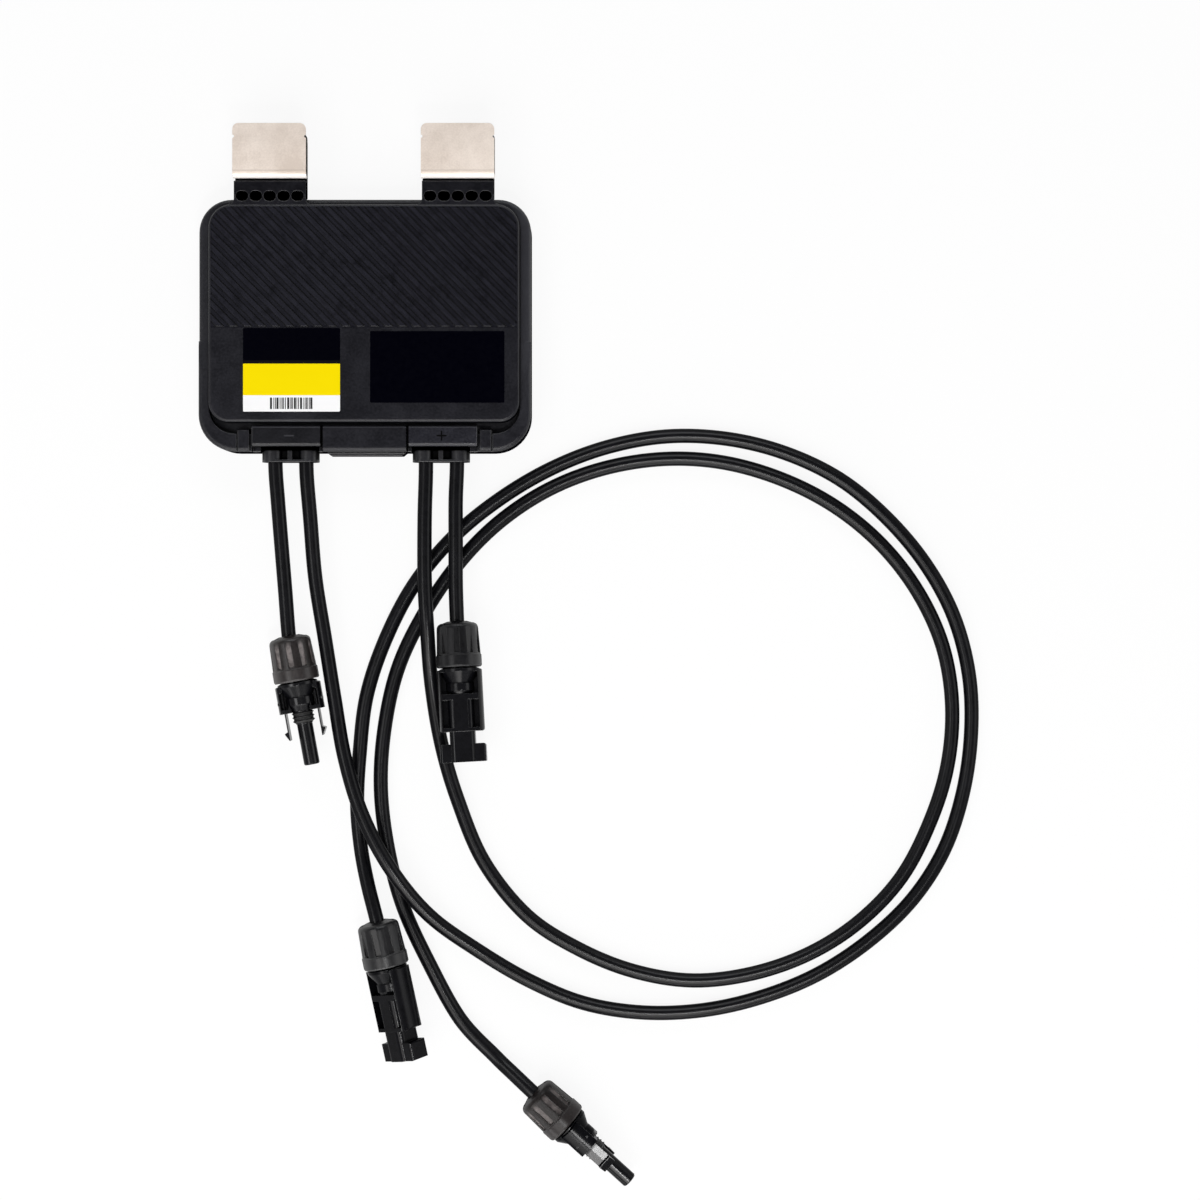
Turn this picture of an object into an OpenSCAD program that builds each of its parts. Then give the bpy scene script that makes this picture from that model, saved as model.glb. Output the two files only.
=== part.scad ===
// Power optimizer: a flat moulded electronics box with two frame clips and four cable leads.
// It lies on its back: z = 0 is the back, +Y runs from the cable side to the clips, +Z is out of the cover.

/* [Rear housing] */
// Width of the rear housing
housing_w = 138.4; // [130:0.1:150]
// Length of the rear housing, without clips and grommets
housing_l = 105.2; // [100:0.1:115]
// Height of the rim round the cover
rim_z = 15.6; // [15:0.1:16.4]
// Height of the raised rail along the cable side
rail_z = 17.6; // [17:0.1:19]
// Depth of the rail, from the cable side inwards
rail_depth = 7.4; // [6.5:0.1:8]
// Thickness of the floor
floor_t = 2.2; // [1.5:0.1:2.8]
// Corner radius on the clip side
clip_corner_r = 13.7; // [10:0.1:16]
// Corner radius on the cable side
cable_corner_r = 15.5; // [13:0.1:18]
// Rounding of the moulded edges
edge_r = 1.6; // [0.8:0.1:2.4]
// Height of the ledge that carries the seal and the cover
ledge_z = 13; // [12.6:0.1:13.4]
// Width of that ledge
ledge_w = 1.6; // [1.2:0.1:2.4]

/* [Front cover] */
// Width of the rim left bare beside the cover
cover_side = 4.65; // [3.5:0.05:6]
// Width of the rim left bare on the clip side
cover_clip = 2.7; // [2:0.1:4]
// Depth of the strip left bare on the cable side
cover_cable = 12; // [11.6:0.1:13.5]
// Height of the cover's flat face
cover_z = 20.6; // [20:0.1:21.4]
// Thickness of the cover's face
cover_t = 2.4; // [1.6:0.1:3]
// Thickness of the cover's skirt
skirt_t = 2.2; // [1.6:0.1:3]
// Corner radius of the cover on the clip side
cover_clip_r = 9.8; // [7:0.1:12]
// Corner radius of the cover on the cable side
cover_cable_r = 8.3; // [6:0.1:9]
// Rounding of the cover's upper edge
cover_edge_r = 1.2; // [0.6:0.1:2]
// Thickness of the seal under the skirt
seal_t = 0.8; // [0.5:0.1:1.2]
// Width of the seal
seal_w = 1.4; // [1:0.1:1.6]

/* [Ridges] */
// Distance between ridges, along X
ridge_pitch = 5.85; // [4:0.05:8]
// Width of a ridge, along X
ridge_w = 3.3; // [1.5:0.1:3.8]
// Height of a ridge above the cover's face
ridge_h = 0.3; // [0.15:0.05:0.5]
// Angle of the ridges from the X axis
ridge_angle = 45; // [35:1:55]
// Length of the ridged field, from the cover's clip edge
field_l = 50.8; // [40:0.1:51]
// Plain border round the ridged field
field_border = 2; // [1:0.1:4]

/* [Frame clips] */
// Distance of each clip from the middle
clip_x = 39; // [30:0.1:45]
// Width of a clip
clip_w = 30.4; // [24:0.1:34]
// How far the clips reach past the housing
clip_reach = 30.35; // [26:0.05:34]
// Thickness of the spring sheet
sheet_t = 0.8; // [0.6:0.05:1]
// Clear gap between the clip's legs
clip_gap = 4.5; // [4.2:0.1:4.8]
// Length of the clip, from its bend to its tip
clip_l = 22.4; // [18:0.1:23.5]
// Corner radius of the clip's legs
clip_leg_r = 2.5; // [1:0.1:4]
// Length of the turned-up tip
flare_l = 5.4; // [4:0.1:7]
// Angle of the turned-up tip
flare_angle = 1.5; // [1:0.5:6]
// Height of the shelf under the clip
shelf_z = 16.4; // [16.2:0.1:16.8]
// Thickness of the shelf
shelf_t = 3; // [2.4:0.1:4]
// Width of the shelf and of its root on the cover
shelf_w = 29.8; // [24:0.1:30]
// Number of pockets in the shelf's root
pocket_count = 5; // [3:1:5]
// Width of a pocket
pocket_w = 5.2; // [4:0.1:5.4]
// Length of a pocket
pocket_l = 4.2; // [3:0.1:4.4]
// Depth of a pocket
pocket_depth = 3.8; // [2:0.1:4]

/* [Labels] */
// Thickness of the labels
label_t = 0.15; // [0.1:0.05:0.2]
// Width of the rating label
rating_w = 40.2; // [30:0.1:45]
// Length of the rating label
rating_l = 34.6; // [25:0.1:36]
// Width of the plain label
info_w = 55.6; // [40:0.1:58]
// Length of the plain label
info_l = 29.6; // [20:0.1:34]

/* [Cable entries] */
// Distance of each cable cap from the middle
cap_x = 32.4; // [30:0.1:33]
// Width of a cable cap
cap_w = 28.9; // [28:0.1:30]
// Length of a cable cap
cap_l = 8.5; // [7.6:0.1:9]
// Height of the caps' upper face
cap_z = 18; // [17.6:0.1:19]
// Distance of each grommet from the middle
grommet_x = 31.5; // [30.9:0.1:32.4]
// Width of a grommet
grommet_w = 24; // [23:0.1:25]
// Height of a grommet
grommet_h = 12; // [11:0.1:12.4]
// How far a grommet reaches past the housing
grommet_reach = 4.15; // [3:0.05:6]
// Distance of a cable from its grommet's middle
cable_offset = 6.5; // [6.2:0.1:6.8]
// Height of the cables where they leave the grommets
cable_z = 10; // [9.8:0.1:10.2]
// Diameter of the cables
cable_d = 6.3; // [5.8:0.1:6.4]

/* [Electronics] */
// Thickness of the circuit board
board_t = 1.6; // [1:0.1:2]
// Height of the board above the floor
board_rise = 3.8; // [3:0.1:4.4]
// Gap between the board and the cavity's wall
board_gap = 4.5; // [2:0.1:8]
// Thickness of the thermal pad under the heat spreader
pad_t = 0.7; // [0.4:0.1:1.2]
// Side of the power inductor
inductor_w = 26; // [20:0.1:30]
// Height of the power inductor
inductor_h = 9; // [6:0.1:9.4]
// Diameter of a capacitor
capacitor_d = 8; // [6:0.1:9]
// Height of a capacitor
capacitor_h = 8.6; // [6:0.1:9.4]

/* [Cable connectors] */
// Length of a connector's nut
nut_l = 19.2; // [17:0.1:19.6]
// Largest radius of the nut
nut_r = 9.5; // [9:0.1:9.5]
// Number of flutes round the nut
flute_count = 10; // [8:1:12]
// Length of the pin connector
pin_l = 54.7; // [50:0.1:58]
// Radius of the pin connector's tube
tube_r = 3.3; // [3:0.05:3.4]
// Distance of the latch arms from the axis
arm_x = 7.1; // [6.8:0.1:7.3]
// Thickness of a latch arm
arm_t = 0.7; // [0.5:0.05:0.9]
// Width of a latch arm
arm_w = 6.2; // [5:0.1:6.4]
// Length of the collar connector
collar_l = 58.9; // [56:0.1:62]
// Radius of the collar connector's mouth
mouth_r = 4.75; // [4.4:0.05:4.9]
// Depth of that mouth
mouth_l = 7.5; // [6:0.1:8]
// Radius of the metal contacts
contact_r = 2; // [1.8:0.05:2.1]

/* [Hidden] */
$fn = 48;

PLASTIC = "#1e1e22";
RUBBER = "#26252a";
STEEL = "#d8cbbf";
COPPER = "#b87333";
TIN = "#c9c9cc";

// Clearance between pieces that fit together, and the overshoot of a cut
fit = 0.15;
past = 1;
// Steps in a rounded corner and in a rounded edge
corner_steps = 10;
edge_steps = 4;

// Housing lines, with the origin midway between the clips' tips and the grommets' ends
total_l = grommet_reach + housing_l + clip_reach;
cable_y = grommet_reach - total_l / 2;
clip_y = cable_y + housing_l;
tip_y = total_l / 2;
half_w = housing_w / 2;
cover_x = half_w - cover_side;
cover_y0 = cable_y + cover_cable;
cover_y1 = clip_y - cover_clip;
skirt_z = ledge_z + seal_t;
rail_y = cable_y + rail_depth;
// The rail's ends slope down to the rim on both sides
ramp_low_y = cable_y + 46;
ramp_high_y = cable_y + 34;

// Cable strip: caps, middle bar and the two tabs at its ends
cap_y0 = cable_y + 2.2;
cap_y1 = cap_y0 + cap_l;
bar_x = cap_x - cap_w / 2 - fit;
bar_chamfer = 0.6;
tab_w = 4.7;
tab_gap = 1.05;
tab_seam = 0.45;
tab_x = cap_x + cap_w / 2 + fit + tab_gap + tab_w / 2;
tab_y1 = cap_y1 - 1.4;
seam_depth = 1.6;
grommet_z0 = cable_z - grommet_h / 2;
grommet_y0 = cable_y - grommet_reach;
grommet_y1 = cap_y1 - 0.8;
grommet_r = 3;
boss_x = cable_offset + 1.1;
boss_r = grommet_w / 2 - boss_x;
hole_r = cable_d / 2 + 0.15;

// Sill along the bottom of the cable side
sill_x = 17.7;
sill_reach = 1.2;
sill_h = 8;
sill_chamfer = 2.6;

// Clip: its bend, legs and the shelf below it
clip_y0 = tip_y - clip_l;
bend_r = clip_gap / 2;
bend_y = clip_y0 + sheet_t + bend_r;
bend_z = shelf_z + sheet_t + bend_r;
leg_z = bend_z + bend_r;
notch_r = 0.7;
root_y1 = clip_y0 - 1.1;
root_z = cover_z - 0.3;
shelf_y1 = tip_y - 4.4;
back_leg_y1 = tip_y - 3.2;
pocket_pitch = (shelf_w - 1) / pocket_count;
pocket_y = clip_y + 0.6;
tooth_w = 7;
tooth_l = 3;
tooth_y = (root_y1 + shelf_y1) / 2 + 2;

// Electronics, stacked up from the floor
board_z = floor_t + board_rise;
board_top = board_z + board_t;
board_x = cover_x - ledge_w - board_gap;
board_y0 = cover_y0 + ledge_w + board_gap;
board_y1 = cover_y1 - ledge_w - board_gap;
peg_x = board_x - 4;
peg_low_y = board_y0 + 4;
peg_high_y = board_y1 - 4;
peg_r = 1.2;
post_r = 2.6;
lug_r = 1.8;
lug_t = 0.8;
lug_l = 6;
capacitor_x = 8.5 - board_x;
capacitor_y = board_y1 - 10.7;
chip_x = 14.5 - board_x;
chip_y = (board_y0 + board_y1) / 2 + 2.5;
inductor_x = board_x - inductor_w / 2 - 13.5;
inductor_y = (board_y0 + board_y1) / 2 + 12.5;
transistor_pitch = 10.5;
transistor_w = 6.6;
transistor_x = inductor_x - inductor_w / 2 - 2.15 - transistor_w / 2 - 3 * transistor_pitch;

// Connector stations, measured along each connector from the cable end of its nut
body_z = nut_l + 0.5;
core_z = body_z - 0.7;
core_r = 8.4;
thread_r = 7.1;
wing_x = 9.6;
wing_w = 9.2;
wing_top_t = 1.6;
web_t = 2.4;
wing_l = 12.3;
barb = 1.1;
barb_l = 3.2;
arm_l = 11.4;
cable_stop = 9.7;
wall_r = 9.4;
wall_h = 11;
wall_x = 7.65;
wall_l = 26.4;
neck_r = mouth_r + 0.6;
neck_corner_r = 2.5;
collar_x = 9.6;
collar_h = 8.8;
slot_h = 6.8;
slot_into = 1;
collar_z = collar_l - 7.6;
bridge_l = 10.8;
socket_r = tube_r + fit;
tube_root_r = tube_r + 0.25;
tube_root_z = body_z + wing_l + 5.2;

// Lead routes from inside the grommet to inside the nut; each nut starts at the last point but one
input_minus_route = [
    [-38, -57, 10], [-38, -72, 10], [-37, -86, 10], [-35.5, -105, 9.8], [-34, -123.5, 9.6],
    [-32.5, -142.5, 9.6], [-31, -150.75, 9.6],
];
output_minus_route = [
    [-25, -57, 10], [-25, -74, 10], [-23.5, -93.5, 9.4], [-21.5, -118.5, 8.4], [-17.5, -144, 8],
    [-13.5, -169, 8.2], [-9, -194, 9.4], [-1.5, -218, 10.2], [10.5, -240.5, 10.2], [26, -260, 6.4],
    [46, -275, 3.4], [68, -288, 3.2], [91, -297.5, 3.2], [116, -301.5, 3.2], [141.5, -300.5, 3.2],
    [166, -295, 3.2], [189.5, -285.5, 3.2], [211, -271.5, 3.2], [229.5, -254, 3.2], [243, -233, 3.2],
    [251, -209, 3.2], [254.5, -183.5, 3.2], [253.5, -158.5, 3.2], [247, -134, 3.2], [235, -112, 3.2],
    [218.5, -92.5, 3.2], [199, -76.5, 3.2], [176, -65.5, 3.2], [151.5, -59.5, 3.2], [126, -58.5, 3.2],
    [101, -63, 3.2], [77.5, -72, 3.2], [55.5, -85, 3.2], [36, -101, 3.2], [19.5, -121, 3.2],
    [7.5, -144, 3.2], [-0.5, -168, 3.2], [-3.5, -193, 3.2], [-4.5, -213, 3.2], [-3, -231, 3.6],
    [0, -246, 6], [4.5, -262, 10], [6.5, -271.25, 10],
];
output_plus_route = [
    [25, -57, 10], [25, -74, 10], [24.5, -93.5, 10.2], [24.5, -119, 10.2], [25.5, -140, 9.4],
    [27, -163, 5], [31, -188, 3.4], [38, -212, 3.2], [49, -238, 3.2], [67, -260.5, 3.2],
    [88.5, -274.5, 3.2], [112, -284, 3.2], [137, -288, 3.2], [162.5, -285, 3.2], [186.5, -276.5, 3.2],
    [207.5, -263, 3.2], [225, -244.5, 3.2], [237, -221.5, 3.2], [244.5, -197.5, 3.2], [246.5, -172, 3.2],
    [242.5, -147, 3.2], [232, -124, 3.2], [216.5, -104, 3.2], [197, -88, 3.2], [174.5, -76.5, 3.2],
    [150, -69.5, 3.2], [125, -68, 3.2], [99.5, -72, 3.2], [76, -81, 3.2], [55, -95, 3.2],
    [37.5, -113, 3.2], [23, -134.5, 3.2], [12.5, -157, 3.2], [7, -182, 3.2], [5.5, -207, 3.2],
    [8.5, -232.5, 3.2], [15, -257, 3.2], [26, -281, 3.2], [39, -304.3, 3.2], [53.8, -319.7, 4.6],
    [61.2, -326.3, 7], [70, -334, 9.7], [76.6, -340, 9.7],
];
input_plus_route = [
    [38, -57, 10], [38, -72, 10], [37.5, -86, 10.2], [37.5, -104, 10.2], [37.5, -121, 9.8],
    [38, -136.5, 9.6], [38.5, -145.5, 10.2],
];
lead_sides = 10;

// Arc points round a centre
function arc(cx, cy, r, from, to, steps) =
    [for (i = [0:steps]) let (a = from + (to - from) * i / steps) [cx + r * cos(a), cy + r * sin(a)]];

// Rounded rectangle, with one radius at its low-Y corners and one at its high-Y corners
function rounded(x0, x1, y0, y1, low_r, high_r) = concat(
    arc(x0 + low_r, y0 + low_r, low_r, 180, 270, corner_steps),
    arc(x1 - low_r, y0 + low_r, low_r, 270, 360, corner_steps),
    arc(x1 - high_r, y1 - high_r, high_r, 0, 90, corner_steps),
    arc(x0 + high_r, y1 - high_r, high_r, 90, 180, corner_steps)
);

// Point and direction on a smooth curve through a route
function route_point(route, i) =
    i < 0 ? 2 * route[0] - route[1]
    : i >= len(route) ? 2 * route[len(route) - 1] - route[len(route) - 2]
    : route[i];
function curve_at(route, u) = let (
        i = min(floor(u), len(route) - 2), t = u - i,
        a = route_point(route, i - 1), b = route[i], c = route[i + 1], d = route_point(route, i + 2)
    )
    (2 * b + (c - a) * t + (2 * a - 5 * b + 4 * c - d) * t ^ 2 + (3 * b - a - 3 * c + d) * t ^ 3) / 2;
function unit(v) = v / norm(v);
function heading(route, u) =
    unit(curve_at(route, min(u + 0.02, len(route) - 1)) - curve_at(route, max(u - 0.02, 0)));

// Rings round the curve, one at each route point and one between
function ring(route, u, r) = let (
        along = heading(route, u), side = unit(cross(along, [0, 0, 1])), up = cross(side, along)
    )
    [for (k = [0:lead_sides - 1]) let (a = 360 * k / lead_sides)
        curve_at(route, u) + r * (cos(a) * side + sin(a) * up)];

module lead(route) {
    stations = [for (i = [0:2 * (len(route) - 1)]) i / 2];
    rings = [for (u = stations) ring(route, u, cable_d / 2)];
    last = len(stations) - 1;
    n = lead_sides;
    sides = [for (i = [0:last - 1], k = [0:n - 1])
        let (a = i * n + k, b = i * n + (k + 1) % n) each [[a, b, b + n], [a, b + n, a + n]]];
    caps = [[for (k = [n - 1:-1:0]) k], [for (k = [0:n - 1]) last * n + k]];
    polyhedron(points = [for (r = rings) each r], faces = concat(sides, caps), convexity = 8);
}

// Moves a connector, built along +Z, onto the end of a lead
module at_end(route, roll = 0) {
    start = route[len(route) - 2];
    along = unit(route[len(route) - 1] - start);
    turn = atan2(along[0], -along[1]);
    pitch = asin(along[2]);
    translate(start) rotate([0, 0, turn]) rotate([90 - pitch, 0, 0]) rotate([0, 0, roll]) children();
}

// One profile in the YZ plane, extruded along X and centred
module along_x(length) {
    translate([-length / 2, 0, 0]) rotate([90, 0, 90]) linear_extrude(length) children();
}

// One profile in the XZ plane, extruded from y0 to y1
module along_y(y0, y1) {
    translate([0, y1, 0]) rotate([90, 0, 0]) linear_extrude(y1 - y0) children();
}

// Box between two corners
module box(low, high) {
    translate(low) cube(high - low);
}

// Left and right copies about the middle
module both_sides() {
    children();
    mirror([1, 0, 0]) children();
}

// Moulded block with rounded corners, a small foot radius and a rounded upper edge
module moulded_block(x0, x1, y0, y1, low_r, high_r, z0, z1, foot, crown) {
    corners = [[x0, y0, 1, 1, low_r], [x1, y0, -1, 1, low_r], [x1, y1, -1, -1, high_r], [x0, y1, 1, -1, high_r]];
    hull() for (c = corners) {
        r = c[4];
        translate([c[0] + c[2] * r, c[1] + c[3] * r, 0]) rotate_extrude() polygon(concat(
            [[0, z0]],
            arc(r - foot, z0 + foot, foot, 270, 360, edge_steps),
            arc(r - crown, z1 - crown, crown, 0, 90, edge_steps),
            [[0, z1]]
        ));
    }
}

// Outside of the rear housing up to a given height
module housing_block(top_z) {
    moulded_block(-half_w, half_w, cable_y, clip_y, cable_corner_r, clip_corner_r, 0, top_z, edge_r / 2, edge_r);
}

// Opening for the cover, with a groove left open along the cable side
module cover_opening() {
    translate([0, 0, ledge_z]) linear_extrude(rail_z) polygon(rounded(
        -cover_x - fit, cover_x + fit, rail_y, cover_y1 + fit, cover_cable_r + 2.5, cover_clip_r + fit
    ));
}

// Space for the electronics
module cavity() {
    inner_r = cover_cable_r - ledge_w;
    translate([0, 0, floor_t]) linear_extrude(ledge_z) polygon(rounded(
        -cover_x + ledge_w, cover_x - ledge_w, cover_y0 + ledge_w, cover_y1 - ledge_w, inner_r, inner_r
    ));
}

// Seat for one cap and grommet, and the way from it to the electronics
module entry_cut() {
    half_cap = cap_w / 2 + fit;
    half_grommet = grommet_w / 2 + fit;
    box([cap_x - half_cap, cable_y - past, ledge_z], [cap_x + half_cap, cap_y1 + fit, rail_z + past]);
    box(
        [grommet_x - half_grommet, cable_y - sill_reach - past, grommet_z0 - fit],
        [grommet_x + half_grommet, grommet_y1 + fit, ledge_z + past]
    );
    box(
        [grommet_x - half_grommet + grommet_r, grommet_y1, cable_z - lug_r - 1],
        [grommet_x + half_grommet - grommet_r, cover_y0 + ledge_w + past, cable_z + lug_r + 0.4]
    );
}

// Seams on both sides of a tab at the end of the cable strip
module tab_seams() {
    for (x = [[tab_x - tab_w / 2 - tab_gap, tab_gap], [tab_x + tab_w / 2, tab_seam]])
        box([x[0], cable_y - past, rail_z - seam_depth], [x[0] + x[1], rail_y + past, rail_z + past]);
}

// Raised bar on the groove's floor, chamfered along its inner edge
module strip_bar(x0, x1, inner_y) {
    translate([(x0 + x1) / 2, 0, 0]) along_x(x1 - x0) polygon([
        [rail_y - 2, ledge_z - past], [inner_y, ledge_z - past], [inner_y, rail_z - bar_chamfer],
        [inner_y - bar_chamfer, rail_z], [rail_y - 2, rail_z],
    ]);
}

module rear_housing() {
    color(PLASTIC) {
        difference() {
            union() {
                housing_block(rim_z);
                intersection() {
                    housing_block(rail_z);
                    along_x(housing_w + 2 * past) polygon([
                        [cable_y - past, rim_z - 3 * edge_r], [ramp_low_y, rim_z - 3 * edge_r], [ramp_low_y, rim_z],
                        [ramp_high_y, rail_z], [ramp_high_y, rail_z + past], [cable_y - past, rail_z + past],
                    ]);
                }
                linear_extrude(sill_h) polygon([
                    [-sill_x, cable_y + past], [-sill_x + sill_chamfer, cable_y - sill_reach],
                    [sill_x - sill_chamfer, cable_y - sill_reach], [sill_x, cable_y + past],
                ]);
            }
            cover_opening();
            cavity();
            both_sides() {
                entry_cut();
                tab_seams();
            }
        }
        strip_bar(-bar_x, bar_x, cap_y1);
        both_sides() {
            strip_bar(tab_x - tab_w / 2, tab_x + tab_w / 2, tab_y1);
            for (y = [peg_low_y, peg_high_y]) translate([peg_x, y, 0]) {
                translate([0, 0, floor_t / 2]) cylinder(r = post_r, h = board_z - floor_t / 2);
                translate([0, 0, floor_t / 2]) cylinder(r = peg_r, h = board_top + 0.8 - floor_t / 2);
            }
        }
    }
}

// Slanting ridges, cut off at the border of their field
module ridges() {
    low_y = cover_y1 - field_l;
    high_y = cover_y1 - field_border;
    run = (high_y - low_y + 2 * past) / tan(ridge_angle);
    count = ceil((cover_x + run) / ridge_pitch);
    translate([0, 0, cover_z - ridge_h]) linear_extrude(2 * ridge_h) intersection() {
        polygon(rounded(
            -cover_x + field_border, cover_x - field_border, low_y, high_y, 0.3, cover_clip_r - field_border
        ));
        for (i = [-count:count]) translate([i * ridge_pitch, 0]) polygon([
            [0, high_y + past], [ridge_w, high_y + past],
            [ridge_w + run, low_y - past], [run, low_y - past],
        ]);
    }
}

// Root and shelf that carry one clip
module clip_shelf() {
    low_z = shelf_z - shelf_t;
    blend_r = 2;
    translate([clip_x, 0, 0]) {
        translate([0, 0, rim_z + 0.1]) linear_extrude(root_z - rim_z - 0.1) polygon(concat(
            [[shelf_w / 2, root_y1], [-shelf_w / 2, root_y1]],
            arc(-shelf_w / 2 - blend_r, cover_y1 + blend_r, blend_r, 0, -90, edge_steps),
            [[-shelf_w / 2 - blend_r, cover_y1 - skirt_t], [shelf_w / 2 + blend_r, cover_y1 - skirt_t]],
            arc(shelf_w / 2 + blend_r, cover_y1 + blend_r, blend_r, 270, 180, edge_steps)
        ));
        box([-shelf_w / 2, clip_y + 0.3, low_z], [shelf_w / 2, root_y1, root_z]);
        translate([0, 0, low_z]) linear_extrude(shelf_t)
            polygon(rounded(-shelf_w / 2, shelf_w / 2, clip_y + 0.3, shelf_y1, 0.2, clip_leg_r));
        translate([0, tooth_y, 0]) along_x(tooth_w) polygon([
            [-tooth_l / 2, shelf_z - 0.5], [tooth_l / 2, shelf_z - 0.5], [tooth_l / 2, shelf_z + sheet_t],
            [tooth_l / 2 - 0.8, shelf_z + sheet_t], [-tooth_l / 2, shelf_z + 0.2],
        ]);
    }
}

// Row of blind pockets in the root of one shelf
module root_pockets() {
    straight = (pocket_w - pocket_l) / 2;
    for (i = [0:pocket_count - 1])
        translate([clip_x + (i - (pocket_count - 1) / 2) * pocket_pitch, pocket_y, root_z - pocket_depth])
            linear_extrude(pocket_depth + past) polygon(concat(
                arc(straight, 0, pocket_l / 2, -90, 90, corner_steps),
                arc(-straight, 0, pocket_l / 2, 90, 270, corner_steps)
            ));
}

module front_cover() {
    color(PLASTIC) {
        difference() {
            union() {
                moulded_block(
                    -cover_x, cover_x, cover_y0, cover_y1, cover_cable_r, cover_clip_r,
                    skirt_z, cover_z, 0.2, cover_edge_r
                );
                both_sides() clip_shelf();
            }
            translate([0, 0, skirt_z - past]) linear_extrude(cover_z - cover_t - skirt_z + past) polygon(rounded(
                -cover_x + skirt_t, cover_x - skirt_t, cover_y0 + skirt_t, cover_y1 - skirt_t,
                cover_cable_r - skirt_t, cover_clip_r - skirt_t
            ));
            both_sides() root_pockets();
        }
        ridges();
    }
}

module perimeter_seal() {
    inset = 0.1;
    color(RUBBER) translate([0, 0, ledge_z]) linear_extrude(seal_t) difference() {
        polygon(rounded(
            -cover_x + inset, cover_x - inset, cover_y0 + inset, cover_y1 - inset,
            cover_cable_r - inset, cover_clip_r - inset
        ));
        polygon(rounded(
            -cover_x + inset + seal_w, cover_x - inset - seal_w, cover_y0 + inset + seal_w, cover_y1 - inset - seal_w,
            cover_cable_r - inset - seal_w, cover_clip_r - inset - seal_w
        ));
    }
}

// Plan of one leg of a clip, with rounded corners at its tip
module leg_plan(end_y, notched) {
    difference() {
        polygon(rounded(-clip_w / 2, clip_w / 2, bend_y, end_y, 0.05, clip_leg_r));
        if (notched) for (x = [-clip_w / 2, clip_w / 2]) translate([x, tip_y - flare_l]) circle(r = notch_r);
    }
}

// U-bent spring sheet: back leg on the shelf, bend, and front leg with a turned-up tip
module spring_clip() {
    turn_y = tip_y - flare_l;
    difference() {
        union() {
            translate([0, 0, shelf_z]) linear_extrude(sheet_t) leg_plan(back_leg_y1, false);
            along_x(clip_w) difference() {
                translate([bend_y, bend_z]) circle(r = bend_r + sheet_t);
                translate([bend_y, bend_z]) circle(r = bend_r);
                translate([bend_y, bend_z - bend_r - 2 * sheet_t]) square(2 * bend_r + 4 * sheet_t);
            }
            intersection() {
                translate([0, 0, leg_z - past]) linear_extrude(2 * sheet_t + 2 * past) leg_plan(tip_y, true);
                along_x(clip_w) union() {
                    translate([bend_y, leg_z]) square([turn_y - bend_y, sheet_t]);
                    translate([turn_y, leg_z]) rotate(flare_angle) translate([-0.02, 0]) square([flare_l + past, sheet_t]);
                }
            }
        }
        box(
            [-tooth_w / 2 - fit, tooth_y - tooth_l / 2 - fit, shelf_z - past],
            [tooth_w / 2 + fit, tooth_y + tooth_l / 2 + fit, shelf_z + sheet_t + past / 2]
        );
    }
}

module left_spring_clip() { color(STEEL) translate([-clip_x, 0, 0]) spring_clip(); }
module right_spring_clip() { color(STEEL) translate([clip_x, 0, 0]) spring_clip(); }

// Thin label on the cover's face, given the middle of its upper edge
module label(x, high_y, width, length) {
    corner_r = 0.5;
    translate([x, 0, cover_z]) linear_extrude(label_t)
        polygon(rounded(-width / 2, width / 2, high_y - length, high_y, corner_r, corner_r));
}

module rating_label() { color("#ffe400") label(-29.9, cover_y1 - field_l - 0.8, rating_w, rating_l); }
module info_label() { color("#0a0a0c") label(30.5, cover_y1 - field_l - 2.1, info_w, info_l); }

// Cap over one grommet: a bridge that stands on the ledge on both sides
module cable_cap(x, under_x) {
    half_arch = grommet_w / 2 + fit;
    difference() {
        translate([x, 0, 0]) along_x(cap_w) polygon([
            [cap_y0, ledge_z], [cap_y1, ledge_z], [cap_y1, cap_z - bar_chamfer], [cap_y1 - bar_chamfer, cap_z],
            [cap_y0 + 1.5 * bar_chamfer, cap_z], [cap_y0, cap_z - 1.5 * bar_chamfer],
        ]);
        box(
            [under_x - half_arch, cap_y0 - past, ledge_z - past],
            [under_x + half_arch, cap_y1 + past, grommet_z0 + grommet_h + fit]
        );
    }
}

module minus_cable_cap() { color(PLASTIC) cable_cap(-cap_x, -grommet_x); }
module plus_cable_cap() { color(PLASTIC) cable_cap(cap_x, grommet_x); }

// Rubber grommet with two cable holes, two bosses outside, a web with a rib and an end plate
module grommet() {
    z1 = grommet_z0 + grommet_h;
    plate_t = 0.95;
    web_h = 3;
    rib_w = 1.9;
    difference() {
        union() {
            along_y(cap_y0 - 0.5, grommet_y1) polygon(rounded(
                -grommet_w / 2, grommet_w / 2, grommet_z0, z1, grommet_r, grommet_r
            ));
            for (x = [-boss_x, boss_x]) translate([x, cap_y0, cable_z]) rotate([90, 0, 0])
                cylinder(r = boss_r, h = cap_y0 - grommet_y0);
            box([-boss_x, grommet_y0, cable_z - web_h / 2], [boss_x, cap_y0, cable_z + web_h / 2]);
            box([-rib_w / 2, grommet_y0, cable_z - boss_r + 0.4], [rib_w / 2, cap_y0, cable_z + boss_r - 0.4]);
            along_y(grommet_y0, grommet_y0 + plate_t) polygon(rounded(
                -boss_x - boss_r + 0.2, boss_x + boss_r - 0.2, cable_z - boss_r + 0.2, cable_z + boss_r - 0.2,
                boss_r - 0.6, boss_r - 0.6
            ));
        }
        for (x = [-cable_offset, cable_offset]) translate([x, grommet_y1 + past, cable_z]) rotate([90, 0, 0])
            cylinder(r = hole_r, h = grommet_y1 - grommet_y0 + 2 * past);
    }
}

module left_grommet() { color(RUBBER) translate([-grommet_x, 0, 0]) grommet(); }
module right_grommet() { color(RUBBER) translate([grommet_x, 0, 0]) grommet(); }

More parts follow.
